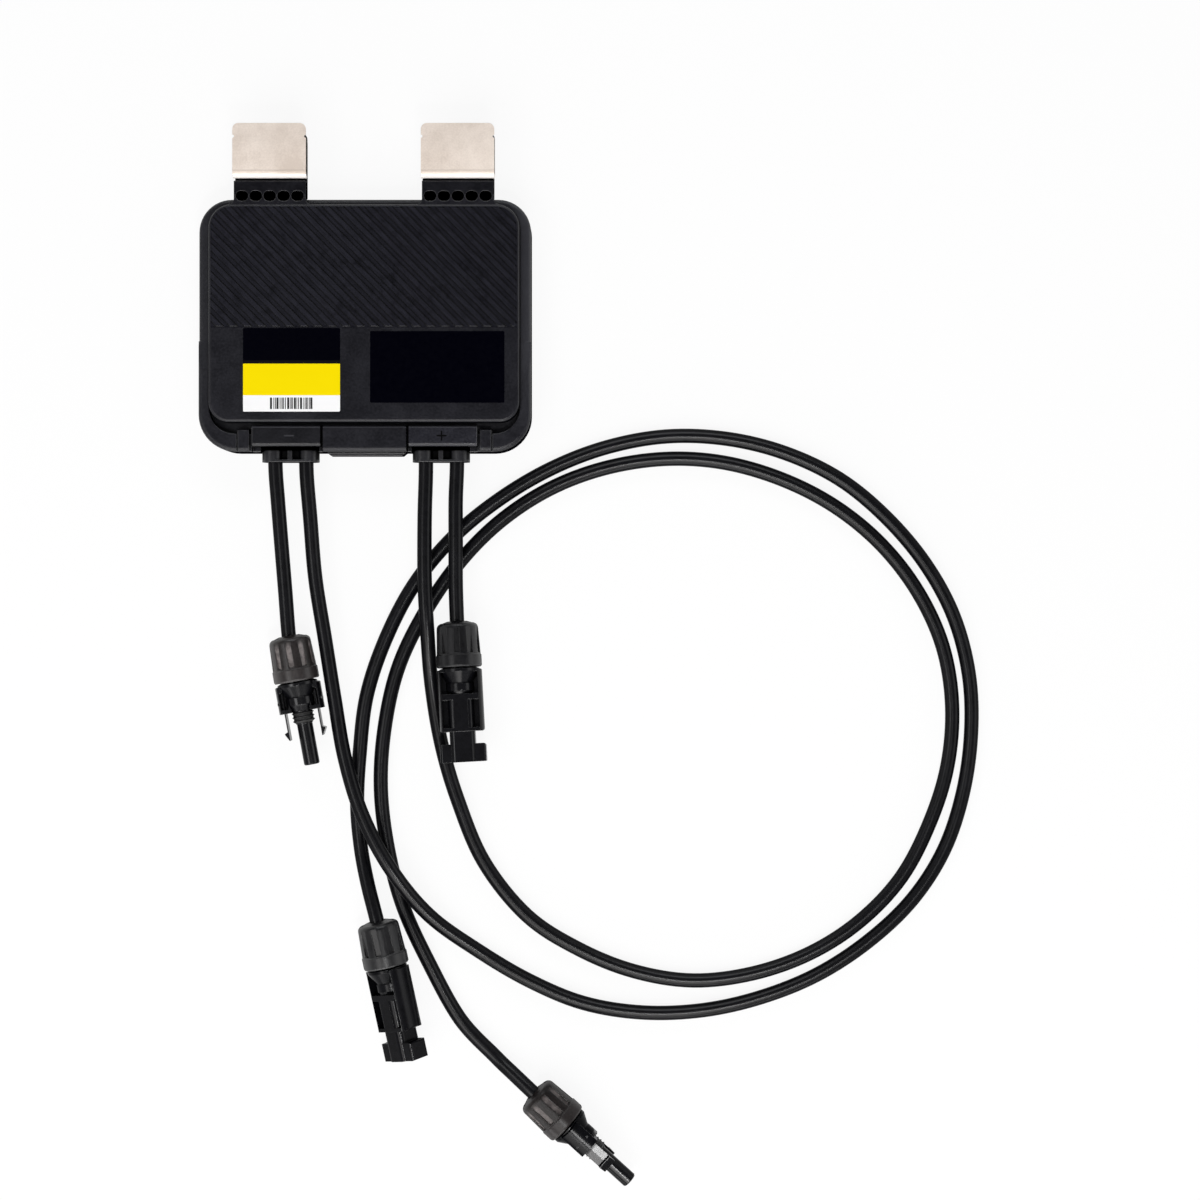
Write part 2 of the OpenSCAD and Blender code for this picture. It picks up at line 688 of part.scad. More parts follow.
module circuit_board() {
    color("#1f5a34") difference() {
        translate([0, 0, board_z]) linear_extrude(board_t)
            polygon(rounded(-board_x, board_x, board_y0, board_y1, 3, 3));
        both_sides() for (y = [peg_low_y, peg_high_y])
            translate([peg_x, y, board_z - past]) cylinder(r = peg_r + fit, h = board_t + 2 * past);
    }
}

spreader_x = 22;
spreader_y = 16;
module thermal_pad() {
    color("#8f9aa3") box([-spreader_x, -spreader_y, floor_t], [spreader_x, spreader_y, floor_t + pad_t]);
}
module heat_spreader() {
    color("#c4c6c8") box([-spreader_x, -spreader_y, floor_t + pad_t], [spreader_x, spreader_y, board_z]);
}

// Shielded inductor: a square core with cut corners on a wider base
module power_inductor() {
    base_h = 1.4;
    cut = inductor_w / 6;
    half = inductor_w / 2;
    color("#3b3b3e") translate([inductor_x, inductor_y, board_top]) {
        linear_extrude(base_h) square(inductor_w, center = true);
        linear_extrude(inductor_h) polygon([
            [-half + cut, -half + 1], [half - cut, -half + 1], [half - 1, -half + cut], [half - 1, half - cut],
            [half - cut, half - 1], [-half + cut, half - 1], [-half + 1, half - cut], [-half + 1, -half + cut],
        ]);
    }
}

module filter_capacitors() {
    crimp_z = 1.6;
    color("#6f7c94") for (i = [0:5]) translate([capacitor_x + i * (capacitor_d + 1.4), capacitor_y, board_top])
        rotate_extrude() polygon([
            [0, 0], [capacitor_d / 2, 0], [capacitor_d / 2, crimp_z], [capacitor_d / 2 - 0.35, crimp_z + 0.4],
            [capacitor_d / 2, crimp_z + 0.8], [capacitor_d / 2, capacitor_h - 0.5],
            [capacitor_d / 2 - 0.5, capacitor_h], [0, capacitor_h],
        ]);
}

// Four flat transistors with their cooling tabs, above the heat spreader
module power_transistors() {
    color("#2b2b2f") for (i = [0:3]) translate([transistor_x + i * transistor_pitch, -8, board_top]) {
        box([-transistor_w / 2, 0, 0], [transistor_w / 2, 6.2, 2.3]);
        box([-2.7, 6.2, 0], [2.7, 9.2, 0.5]);
        for (x = [-2.3, 2.3]) box([x - 0.4, -2.6, 0], [x + 0.4, 0, 0.5]);
    }
}

module control_chip() {
    color("#242428") translate([chip_x, chip_y, board_top]) {
        box([-4.5, -4.5, 0], [4.5, 4.5, 1.2]);
        for (i = [-3:3], s = [-1, 1]) box([i * 1.1 - 0.2, min(s * 4.5, s * 5.6), 0], [i * 1.1 + 0.2, max(s * 4.5, s * 5.6), 0.3]);
    }
}

// Crimped lugs that carry the four conductors to the board
module terminal_lugs() {
    start_y = grommet_y1 + 0.2;
    color(TIN) both_sides() for (x = [grommet_x - cable_offset, grommet_x + cable_offset]) translate([x, 0, 0]) {
        translate([0, board_y0 - 0.6, cable_z]) rotate([90, 0, 0]) cylinder(r = lug_r, h = board_y0 - 0.6 - start_y);
        box([-lug_r, board_y0 - 2, board_top], [lug_r, board_y0 - 0.6, cable_z]);
        box([-lug_r, board_y0 - 2, board_top], [lug_r, board_y0 + lug_l, board_top + lug_t]);
    }
}

module input_minus_lead() { color(RUBBER) lead(input_minus_route); }
module output_minus_lead() { color(RUBBER) lead(output_minus_route); }
module output_plus_lead() { color(RUBBER) lead(output_plus_route); }
module input_plus_lead() { color(RUBBER) lead(input_plus_route); }

// Nut with flat-floored flutes, a rounded cable end and a plain band at its body end
module cap_nut() {
    band_z = nut_l - 5.2;
    round_r = 2.3;
    rise = 0.7;
    shoulder_r = nut_r - 0.8;
    flute_w = 2.4;
    flute_depth = 0.95;
    run_out = 0.15;
    lean = atan((nut_r - 0.3 - flute_depth - shoulder_r + run_out) / (band_z - round_r - rise));
    difference() {
        rotate_extrude() polygon(concat(
            [[hole_r + 0.1, 1.2], [hole_r + 0.9, 0]],
            arc(shoulder_r - round_r, round_r + rise, round_r, -90, 0, 5),
            [
                [nut_r - 0.3, band_z], [nut_r, band_z + 0.3], [nut_r, nut_l - 0.6], [nut_r - 0.4, nut_l],
                [thread_r + fit, nut_l], [thread_r + fit, 6], [hole_r + 0.1, 6],
            ]
        ));
        for (i = [0:flute_count - 1]) rotate([0, 0, 360 * (i + 0.5) / flute_count])
            translate([nut_r - 0.3 - flute_depth, 0, band_z - 0.5]) rotate([0, lean, 0])
                box([0, -flute_w / 2, -nut_l], [flute_depth + past, flute_w / 2, 0]);
    }
}

// Hollow core that both connector bodies share: thread inside the nut, shoulder cone and belt
module core(belt_r, end_r, end_z, bore) {
    rotate_extrude() polygon([
        [5, 6.5], [thread_r, 6.5], [thread_r, body_z - 0.2], [core_r, body_z + 0.2], [core_r, body_z + 1.4],
        [belt_r, body_z + 6], [belt_r + 0.3, body_z + 6.4], [belt_r + 0.3, body_z + 9.4], [belt_r, body_z + 9.8],
        [end_r, end_z], [bore, end_z], [bore, core_z], [5, core_z - 2],
    ]);
}

// Wing of the pin body: a frame with a rounded outer face, a window and a web across its middle
module wing() {
    wing_end = body_z + wing_l;
    low_z = body_z + 0.2;
    inner_x = wing_x - 1.6;
    intersection() {
        along_y(-wing_w / 2, wing_w / 2) difference() {
            polygon([
                [core_r - 2, low_z], [wing_x + past, low_z + 1.4], [wing_x + past, wing_end], [3.9, wing_end],
                [3.9, wing_end - wing_top_t], [core_r - 2, body_z + 4],
            ]);
            polygon([
                [inner_x, low_z + 3.4], [inner_x, wing_end - wing_top_t], [4.6, wing_end - wing_top_t], [4.6, body_z + 7],
                [core_r - 2, body_z + 3],
            ]);
        }
        cylinder(r = wing_x, h = wing_end + past);
    }
    box([4.2, -web_t / 2, body_z + 3], [inner_x + 0.4, web_t / 2, wing_end - 0.4]);
    for (y = [-3, 3]) translate([wing_x - 1.6, y, body_z + 8]) rotate([0, 90, 0]) cylinder(r = 0.6, h = 1.3, $fn = 24);
}

// Latch arm with a shallow ridge along its outer face and a pointed barb
module latch_arm() {
    root_end = body_z + 4;
    tip_end = body_z + wing_l + arm_l;
    out_x = arm_x + arm_t / 2;
    in_x = arm_x - arm_t / 2;
    ridge = 0.2;
    translate([0, 0, root_end]) linear_extrude(tip_end - barb_l - root_end) polygon([
        [in_x, -arm_w / 2], [out_x - ridge, -arm_w / 2], [out_x, 0], [out_x - ridge, arm_w / 2], [in_x, arm_w / 2],
    ]);
    along_y(-arm_w / 2, arm_w / 2) polygon([
        [in_x, tip_end - barb_l - 0.6], [out_x - ridge, tip_end - barb_l - 0.6], [out_x + barb, tip_end - barb_l],
        [out_x + barb, tip_end - barb_l + 0.4], [in_x + 0.3, tip_end], [in_x, tip_end],
    ]);
}

// Body with a slim tube, two wings and two latch arms
module pin_body() {
    wing_end = body_z + wing_l;
    difference() {
        union() {
            core(5.7, 4.4, wing_end - 0.3, contact_r + 0.75);
            rotate_extrude() polygon([
                [contact_r + 0.75, wing_end - 1], [4.2, wing_end - 1], [4.2, wing_end + 0.2],
                [tube_root_r, wing_end + 0.2], [tube_root_r, tube_root_z], [tube_r, tube_root_z + 0.2],
                [tube_r, pin_l - 0.5], [tube_r - 0.4, pin_l], [contact_r + 0.75, pin_l],
            ]);
            for (s = [0, 180]) rotate([0, 0, s]) {
                wing();
                latch_arm();
            }
        }
        translate([0, 0, wing_end - 2]) cylinder(r = contact_r + 0.75, h = pin_l);
    }
}

// Barrel section: a circle with two flat faces
module barrel(r, height) {
    intersection() {
        circle(r = r);
        square([2 * r + past, height], center = true);
    }
}

// Square neck section with rounded corners
module neck_section() {
    polygon(rounded(-neck_r, neck_r, -neck_r, neck_r, neck_corner_r, neck_corner_r));
}

// Walls of the collar body, joined by a web, with pockets beside the cone and beside the neck
module collar_walls() {
    low_z = body_z + 0.6;
    wall_end = body_z + wall_l;
    bridge_z = body_z + bridge_l;
    intersection() {
        difference() {
            translate([0, 0, low_z]) linear_extrude(wall_end - low_z) barrel(wall_r, wall_h);
            for (s = [0, 180]) rotate([0, 0, s]) {
                box([-wall_x, web_t / 2, low_z + 1], [wall_x, wall_h, bridge_z]);
                for (x = [-1, 1]) box(
                    [min(x * 3, x * wall_x), web_t / 2, bridge_z + 2.4], [max(x * 3, x * wall_x), wall_h, wall_end - slot_into - 0.5]
                );
            }
        }
        along_y(-wall_h, wall_h) polygon(rounded(-wall_r, wall_r, low_z, wall_end, 0.5, 1.2));
    }
}

// Body with side walls, pockets, a waist for the mating latches and a winged collar round its mouth
module collar_body() {
    wall_end = body_z + wall_l;
    bridge_z = body_z + bridge_l;
    difference() {
        union() {
            core(5.7, neck_r - 0.6, bridge_z + 1, socket_r);
            collar_walls();
            translate([0, 0, bridge_z]) linear_extrude(collar_l - bridge_z) neck_section();
            intersection() {
                translate([0, 0, collar_z]) linear_extrude(collar_l - collar_z)
                    polygon(rounded(-collar_x, collar_x, -collar_h / 2, collar_h / 2, 1.2, 1.2));
                along_y(-wall_h, wall_h) polygon(rounded(-collar_x, collar_x, collar_z, collar_l, 1.1, 0.5));
            }
        }
        translate([0, 0, collar_l - mouth_l]) cylinder(r = mouth_r, h = mouth_l + past);
        translate([0, 0, core_z]) cylinder(r = socket_r, h = collar_l);
        for (s = [0, 180]) rotate([0, 0, s])
            box([neck_r + 0.5, -slot_h / 2, wall_end - slot_into], [collar_x - 0.9, slot_h / 2, collar_l + past]);
    }
}

// Crimp barrel and shank that both contacts share
module crimp() {
    rotate_extrude() polygon([
        [0, cable_stop], [2.6, cable_stop], [2.6, 17], [contact_r + 0.6, 17.6], [contact_r + 0.6, 22], [0, 22],
    ]);
}

// Socket contact, hollow at its mating end, and pin contact with a rounded tip
module socket_contact() {
    socket_end = pin_l - 1;
    color(TIN) {
        crimp();
        rotate_extrude() polygon([
            [0, 21], [contact_r + 0.6, 21], [contact_r + 0.6, socket_end], [contact_r - 0.35, socket_end],
            [contact_r - 0.35, socket_end - 14], [0, socket_end - 14],
        ]);
    }
}
module pin_contact() {
    tip_z = collar_l - mouth_l - 3;
    color(TIN) {
        crimp();
        rotate_extrude() polygon(concat(
            [[0, 21], [socket_r - 0.1, 21], [socket_r - 0.1, 26], [contact_r, 26.6]],
            arc(0, tip_z - contact_r, contact_r, 0, 90, edge_steps)
        ));
    }
}

module wire_seal() {
    color(RUBBER) rotate_extrude() polygon([
        [hole_r, 6.9], [4.6, 6.9], [4.85, 7.6], [4.85, cable_stop - 0.4], [hole_r, cable_stop - 0.4],
    ]);
}

// Rubber ring with three ribs round the root of the tube
module seal_ring() {
    z0 = body_z + wing_l + 0.25;
    ribs = [for (i = [0:2]) each [[mouth_r - 0.6, i * 1.6], [mouth_r - 0.05, i * 1.6 + 0.5], [mouth_r - 0.6, i * 1.6 + 1]]];
    color(RUBBER) translate([0, 0, z0]) rotate_extrude()
        polygon(concat([[tube_root_r + 0.05, 0]], ribs, [[tube_root_r + 0.05, 4.6]]));
}

// Rolls of the connectors about their own axes
lower_collar_roll = 45;
lower_pin_roll = 90;

module input_minus_nut() { color(RUBBER) at_end(input_minus_route) cap_nut(); }
module input_minus_body() { color(PLASTIC) at_end(input_minus_route) pin_body(); }
module input_minus_contact() { at_end(input_minus_route) socket_contact(); }
module input_minus_wire_seal() { at_end(input_minus_route) wire_seal(); }
module input_minus_seal_ring() { at_end(input_minus_route) seal_ring(); }

module output_plus_nut() { color(RUBBER) at_end(output_plus_route, lower_pin_roll) cap_nut(); }
module output_plus_body() { color(PLASTIC) at_end(output_plus_route, lower_pin_roll) pin_body(); }
module output_plus_contact() { at_end(output_plus_route) socket_contact(); }
module output_plus_wire_seal() { at_end(output_plus_route) wire_seal(); }
module output_plus_seal_ring() { at_end(output_plus_route) seal_ring(); }

module output_minus_nut() { color(RUBBER) at_end(output_minus_route, lower_collar_roll) cap_nut(); }
module output_minus_body() { color(PLASTIC) at_end(output_minus_route, lower_collar_roll) collar_body(); }
module output_minus_contact() { at_end(output_minus_route) pin_contact(); }
module output_minus_wire_seal() { at_end(output_minus_route) wire_seal(); }

module input_plus_nut() { color(RUBBER) at_end(input_plus_route) cap_nut(); }
module input_plus_body() { color(PLASTIC) at_end(input_plus_route) collar_body(); }
module input_plus_contact() { at_end(input_plus_route) pin_contact(); }
module input_plus_wire_seal() { at_end(input_plus_route) wire_seal(); }

rear_housing();
front_cover();
perimeter_seal();
left_spring_clip();
right_spring_clip();
rating_label();
info_label();
minus_cable_cap();
plus_cable_cap();
left_grommet();
right_grommet();
circuit_board();
heat_spreader();
thermal_pad();
power_inductor();
filter_capacitors();
power_transistors();
control_chip();
terminal_lugs();
input_minus_lead();
output_minus_lead();
output_plus_lead();
input_plus_lead();
input_minus_nut();
input_minus_body();
input_minus_contact();
input_minus_wire_seal();
input_minus_seal_ring();
output_plus_nut();
output_plus_body();
output_plus_contact();
output_plus_wire_seal();
output_plus_seal_ring();
output_minus_nut();
output_minus_body();
output_minus_contact();
output_minus_wire_seal();
input_plus_nut();
input_plus_body();
input_plus_contact();
input_plus_wire_seal();
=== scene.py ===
"""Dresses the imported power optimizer: camera, cable leads, materials, label print, signs and studio."""
import itertools
import math

import bmesh
import bpy
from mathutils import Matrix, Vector


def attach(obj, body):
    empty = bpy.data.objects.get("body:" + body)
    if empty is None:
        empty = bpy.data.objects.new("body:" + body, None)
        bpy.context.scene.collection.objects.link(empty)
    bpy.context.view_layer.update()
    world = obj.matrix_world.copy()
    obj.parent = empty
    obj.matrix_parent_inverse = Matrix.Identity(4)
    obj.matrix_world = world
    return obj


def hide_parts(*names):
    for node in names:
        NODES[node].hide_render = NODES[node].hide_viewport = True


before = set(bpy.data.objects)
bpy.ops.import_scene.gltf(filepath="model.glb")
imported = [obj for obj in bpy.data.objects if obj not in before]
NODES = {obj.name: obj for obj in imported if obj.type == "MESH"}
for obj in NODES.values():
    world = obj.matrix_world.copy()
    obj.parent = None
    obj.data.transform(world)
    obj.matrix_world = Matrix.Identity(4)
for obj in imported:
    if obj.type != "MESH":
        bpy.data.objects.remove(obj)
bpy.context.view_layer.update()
scene = bpy.context.scene
MM = 0.001

# Camera: straight above, at the place and angle that the photograph was taken from
CAMERA_PLACE = (0.09795, -0.1275, 1.0)
HALF_VIEW_TAN = 0.25393
SENSOR_MM = 36.0
camera_data = bpy.data.cameras.new("camera")
camera_data.sensor_width = SENSOR_MM
camera_data.lens = SENSOR_MM / 2 / HALF_VIEW_TAN
camera = bpy.data.objects.new("camera", camera_data)
camera.location = CAMERA_PLACE
scene.collection.objects.link(camera)
scene.camera = camera
scene.view_settings.view_transform = "Standard"

# Lead routes in millimetres, the same points as in the part's source
ROUTES = {
    "input_minus": [
        (-38, -57, 10), (-38, -72, 10), (-37, -86, 10), (-35.5, -105, 9.8), (-34, -123.5, 9.6),
        (-32.5, -142.5, 9.6), (-31, -150.75, 9.6),
    ],
    "output_minus": [
        (-25, -57, 10), (-25, -74, 10), (-23.5, -93.5, 9.4), (-21.5, -118.5, 8.4), (-17.5, -144, 8),
        (-13.5, -169, 8.2), (-9, -194, 9.4), (-1.5, -218, 10.2), (10.5, -240.5, 10.2), (26, -260, 6.4),
        (46, -275, 3.4), (68, -288, 3.2), (91, -297.5, 3.2), (116, -301.5, 3.2), (141.5, -300.5, 3.2),
        (166, -295, 3.2), (189.5, -285.5, 3.2), (211, -271.5, 3.2), (229.5, -254, 3.2), (243, -233, 3.2),
        (251, -209, 3.2), (254.5, -183.5, 3.2), (253.5, -158.5, 3.2), (247, -134, 3.2), (235, -112, 3.2),
        (218.5, -92.5, 3.2), (199, -76.5, 3.2), (176, -65.5, 3.2), (151.5, -59.5, 3.2), (126, -58.5, 3.2),
        (101, -63, 3.2), (77.5, -72, 3.2), (55.5, -85, 3.2), (36, -101, 3.2), (19.5, -121, 3.2),
        (7.5, -144, 3.2), (-0.5, -168, 3.2), (-3.5, -193, 3.2), (-4.5, -213, 3.2), (-3, -231, 3.6),
        (0, -246, 6), (4.5, -262, 10), (6.5, -271.25, 10),
    ],
    "output_plus": [
        (25, -57, 10), (25, -74, 10), (24.5, -93.5, 10.2), (24.5, -119, 10.2), (25.5, -140, 9.4),
        (27, -163, 5), (31, -188, 3.4), (38, -212, 3.2), (49, -238, 3.2), (67, -260.5, 3.2),
        (88.5, -274.5, 3.2), (112, -284, 3.2), (137, -288, 3.2), (162.5, -285, 3.2), (186.5, -276.5, 3.2),
        (207.5, -263, 3.2), (225, -244.5, 3.2), (237, -221.5, 3.2), (244.5, -197.5, 3.2),
        (246.5, -172, 3.2),
        (242.5, -147, 3.2), (232, -124, 3.2), (216.5, -104, 3.2), (197, -88, 3.2), (174.5, -76.5, 3.2),
        (150, -69.5, 3.2), (125, -68, 3.2), (99.5, -72, 3.2), (76, -81, 3.2), (55, -95, 3.2),
        (37.5, -113, 3.2), (23, -134.5, 3.2), (12.5, -157, 3.2), (7, -182, 3.2), (5.5, -207, 3.2),
        (8.5, -232.5, 3.2), (15, -257, 3.2), (26, -281, 3.2), (39, -304.3, 3.2), (53.8, -319.7, 4.6),
        (61.2, -326.3, 7), (70, -334, 9.7), (76.6, -340, 9.7),
    ],
    "input_plus": [
        (38, -57, 10), (38, -72, 10), (37.5, -86, 10.2), (37.5, -104, 10.2), (37.5, -121, 9.8),
        (38, -136.5, 9.6), (38.5, -145.5, 10.2),
    ],
}
DRAWN_R_MM = 3.07
STEPS_PER_STRETCH = 8
ROUND_STEPS = 6


def smooth_route(points):
    """Catmull-Rom curve through the points, in metres."""
    pts = [Vector(p) * MM for p in points]
    pts = [2 * pts[0] - pts[1]] + pts + [2 * pts[-1] - pts[-2]]
    out = []
    for i in range(1, len(pts) - 2):
        a, b, c, d = pts[i - 1:i + 3]
        for k in range(STEPS_PER_STRETCH):
            t = k / STEPS_PER_STRETCH
            out.append((2 * b + (c - a) * t + (2 * a - 5 * b + 4 * c - d) * t ** 2
                        + (3 * b - a - 3 * c + d) * t ** 3) / 2)
    out.append(pts[-2])
    for place in out:
        place.z = max(place.z, DRAWN_R_MM * MM)
    return out


def make_lead(name, points):
    """Cable as a swept curve that stands for the plain tube of the frame."""
    path = smooth_route(points)
    data = bpy.data.curves.new(name + "_cable", "CURVE")
    data.dimensions = "3D"
    data.bevel_depth = 1.0
    data.bevel_resolution = ROUND_STEPS
    data.use_fill_caps = True
    spline = data.splines.new("POLY")
    spline.points.add(len(path) - 1)
    for point, place in zip(spline.points, path):
        point.co = (*place, 1.0)
        point.radius = DRAWN_R_MM * MM
    spline.use_smooth = True
    cable = bpy.data.objects.new(name + "_cable", data)
    scene.collection.objects.link(cable)
    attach(cable, "root")
    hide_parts(name + "_lead")
    return cable


CABLES = {name: make_lead(name, points) for name, points in ROUTES.items()}

# Spans that most of a noise, or of two noises together, falls in
NOISE_SPAN = (0.3, 0.7)
TONE_SPAN = (0.38, 0.62)


def grey(value, blue=0.0):
    """A grey, with its blue raised by a share."""
    return (value, value, value * (1 + blue), 1.0)


BLACK = grey(0.0)
WHITE = grey(1.0)


class Nodes:
    """A node tree, with one short call for each node."""

    def __init__(self, tree):
        self.tree = tree

    def node(self, kind, settings=None, **inputs):
        made = self.tree.nodes.new(kind)
        for key, value in (settings or {}).items():
            setattr(made, key, value)
        for key, value in inputs.items():
            self.put(made.inputs[key.replace("_", " ")], value)
        return made

    def put(self, socket, value):
        if isinstance(value, bpy.types.NodeSocket):
            self.tree.links.new(value, socket)
        else:
            socket.default_value = value

    def fill(self, made, values):
        """Puts values into a node's inputs, in their order."""
        for socket, value in zip(made.inputs, values):
            self.put(socket, value)
        return made

    def math(self, operation, *values):
        return self.fill(self.node("ShaderNodeMath", {"operation": operation}), values).outputs[0]

    def product(self, first, *others):
        for other in others:
            first = self.math("MULTIPLY", first, other)
        return first

    def vector(self, operation, *values):
        return self.fill(self.node("ShaderNodeVectorMath", {"operation": operation}), values).outputs

    def parts(self, vector):
        """X, Y and Z of a vector."""
        return self.node("ShaderNodeSeparateXYZ", Vector=vector).outputs

    def range(self, value, low, high, to_low, to_high):
        made = self.node(
            "ShaderNodeMapRange", Value=value, From_Min=low, From_Max=high, To_Min=to_low, To_Max=to_high)
        return made.outputs[0]

    def ramp(self, factor, stops, interpolation):
        made = self.node("ShaderNodeValToRGB", Fac=factor)
        made.color_ramp.interpolation = interpolation
        elements = made.color_ramp.elements
        while len(elements) < len(stops):
            elements.new(1.0)
        for element, (position, colour) in zip(elements, stops):
            element.position = position
            element.color = colour
        return made.outputs["Color"]

    def blend(self, share, first, second):
        """Mix of two shaders."""
        return self.fill(self.node("ShaderNodeMixShader"), (share, first, second)).outputs[0]

    def background_seen(self):
        """1 for the rays that see the background: from the camera, from gloss and through glass."""
        rays = self.node("ShaderNodeLightPath").outputs
        seen = rays["Is Camera Ray"]
        for other in ("Is Glossy Ray", "Is Transmission Ray"):
            seen = self.math("MAXIMUM", seen, rays[other])
        return seen


class Shader(Nodes):
    """A material with one Principled BSDF that goes with the place on the part."""

    BEVEL_SAMPLES = 6
    CREVICE_SAMPLES = 8
    EDGE_LEAN = (0.98, 0.75)

    def __init__(self, name):
        self.material = bpy.data.materials.new(name)
        self.material.use_nodes = True
        super().__init__(self.material.node_tree)
        self.bsdf = self.tree.nodes["Principled BSDF"]
        self.place = self.node("ShaderNodeTexCoord").outputs["Object"]

    def set(self, **inputs):
        for key, value in inputs.items():
            self.put(self.bsdf.inputs[key.replace("_", " ")], value)

    def fed(self, name):
        """The output that feeds an input so far."""
        return self.bsdf.inputs[name].links[0].from_socket

    def axis(self, name):
        return self.parts(self.place)[name]

    def above(self, name, limit_mm):
        return self.math("GREATER_THAN", self.axis(name), limit_mm * MM)

    def below(self, name, limit_mm):
        return self.math("LESS_THAN", self.axis(name), limit_mm * MM)

    def slope(self, value, start_mm, end_mm, first, last):
        """Goes from the first number to the last between two places."""
        return self.range(value, start_mm * MM, end_mm * MM, first, last)

    def noise(self, grain_mm, detail=3.0, roughness=0.5, place=None):
        made = self.node(
            "ShaderNodeTexNoise", Vector=self.place if place is None else place,
            Scale=1 / (grain_mm * MM), Detail=detail, Roughness=roughness)
        return made.outputs["Fac"]

    def spread(self, noise, first, last, span=NOISE_SPAN):
        """Goes from the first number to the last over a noise's span."""
        return self.range(noise, *span, first, last)

    def mix(self, factor, first, second):
        made = self.node("ShaderNodeMix", {"data_type": "RGBA"})
        self.put(made.inputs[0], factor)
        self.put(made.inputs[6], first)
        self.put(made.inputs[7], second)
        return made.outputs[2]

    def face(self):
        return self.node("ShaderNodeNewGeometry").outputs["Normal"]

    def facing(self, name):
        """How far the face looks along an axis: 1 straight along it, 0 across it."""
        return self.parts(self.face())[name]

    def bevel(self, radius_mm):
        made = self.node("ShaderNodeBevel", {"samples": self.BEVEL_SAMPLES}, Radius=radius_mm * MM)
        return made.outputs["Normal"]

    def crevice(self, reach_mm):
        """How open the surface is within the reach: 1 in the open, less in grooves."""
        made = self.node(
            "ShaderNodeAmbientOcclusion", {"samples": self.CREVICE_SAMPLES}, Distance=reach_mm * MM)
        return made.outputs["AO"]

    def edge(self, rounded):
        """Strength of an edge: how far the rounded normal leans away from the face."""
        lean = self.vector("DOT_PRODUCT", rounded, self.face())["Value"]
        return self.range(lean, *self.EDGE_LEAN, 0.0, 1.0)

    def bump(self, height, depth_mm, normal=None):
        made = self.node("ShaderNodeBump", Height=height, Distance=depth_mm * MM, Strength=1.0)
        if normal is not None:
            self.put(made.inputs["Normal"], normal)
        return made.outputs["Normal"]

    def paint(self, share, colour):
        """Lays a colour over the base colour."""
        self.set(Base_Color=self.mix(share, self.fed("Base Color"), colour))

    def dim(self, share):
        """Keeps a share of the gloss."""
        self.set(Specular_IOR_Level=self.product(self.fed("Specular IOR Level"), share))

    def darken(self, share):
        """Takes colour and gloss away where the share is 1."""
        self.paint(share, BLACK)
        self.dim(self.math("SUBTRACT", 1.0, share))


CLOUD_MM = 9.0
CLOUD_SHARE, SPECK_SHARE = 0.4, 0.6
WALL_SPAN = (0.75, 0.2)
CREVICE_SPAN = (0.25, 0.9)


def grained_plastic(
    name, dark, light, rough, grain_mm=0.35, grain_depth=0.03, edge_mm=0.35, specular=0.3, sheen=0.3,
    groove_mm=1.2, groove=0.5, fade=(0.5, 0.85, 0.0), uneven=0.06, wall_shade=0.0,
):
    """Moulded plastic with a fine spark-eroded grain, softened shiny edges and painted shade in its
    grooves.

    Gloss falls to the share fade[2] as the view gets steeper, between fade[0] and fade[1].
    Painted shade makes the walls darker than the faces that look up, by the share given for the walls.
    """
    s = Shader(name)
    cloud = s.noise(CLOUD_MM, 4.0)
    speck = s.noise(grain_mm, 2.0, 0.7)
    tone = s.math("ADD", s.product(cloud, CLOUD_SHARE), s.product(speck, SPECK_SHARE))
    colour = s.mix(s.spread(tone, 0.0, 1.0, TONE_SPAN), dark, light)
    # Painted shade: walls darker than the faces that look up
    if wall_shade:
        colour = s.mix(s.range(s.facing("Z"), *WALL_SPAN, 0.0, wall_shade), colour, BLACK)
    # Painted shade in grooves and creases, from ambient occlusion
    if groove:
        colour = s.mix(s.range(s.crevice(groove_mm), *CREVICE_SPAN, groove, 0.0), colour, BLACK)
    rounded, gloss = None, specular
    if edge_mm:
        rounded = s.bevel(edge_mm)
        gloss = s.range(s.edge(rounded), 0.0, 1.0, specular, specular + sheen)
    steep = s.node("ShaderNodeLayerWeight", Blend=0.5).outputs["Facing"]
    s.set(
        Base_Color=colour,
        Roughness=s.spread(tone, rough - uneven, rough + uneven),
        Normal=s.bump(speck, grain_depth, rounded),
        Specular_IOR_Level=s.math("MULTIPLY", gloss, s.range(steep, fade[0], fade[1], 1.0, fade[2])),
    )
    return s


def plain_finish(
    name, grain_mm, detail, dark, light, rough, noise_rough=0.5, wear_mm=0.0, **settings,
):
    """Smooth finish whose colour and roughness vary a little; rough gives the two ends."""
    s = Shader(name)
    spots = s.noise(grain_mm, detail, noise_rough)
    s.set(Base_Color=s.mix(spots, dark, light), Roughness=s.spread(spots, *rough), **settings)
    if wear_mm:
        s.set(Normal=s.bump(spots, wear_mm))
    return s


def dress(nodes, shader):
    """Gives one material to frame nodes or to new pieces."""
    for item in nodes:
        target = NODES[item] if isinstance(item, str) else item
        target.data.materials.clear()
        target.data.materials.append(shader.material)


# Black moulded plastic of the box and of the cable caps
HOUSING_DARK, HOUSING_LIGHT = grey(0.0048, 0.5), grey(0.0135, 0.35)
BOX_PLASTIC = {
    "rough": 0.34, "grain_mm": 0.9, "grain_depth": 0.012, "specular": 0.33, "wall_shade": 0.7,
    "groove_mm": 1.8, "groove": 0.9,
}
STRIP_LOW_MM = 16.4
CAP_BACK_Y_MM = -55.0
CAP_REACH_MM = 60.0
BACK_EDGE_HIGHLIGHT = grey(0.06, 0.2)
BACK_EDGE_HIGHLIGHT_SHARE = 0.8
SEAM_X_MM = 17.88
SEAM_HALF_MM = (0.45, 0.7)
SEAM_SHADE_SHARE = 0.95


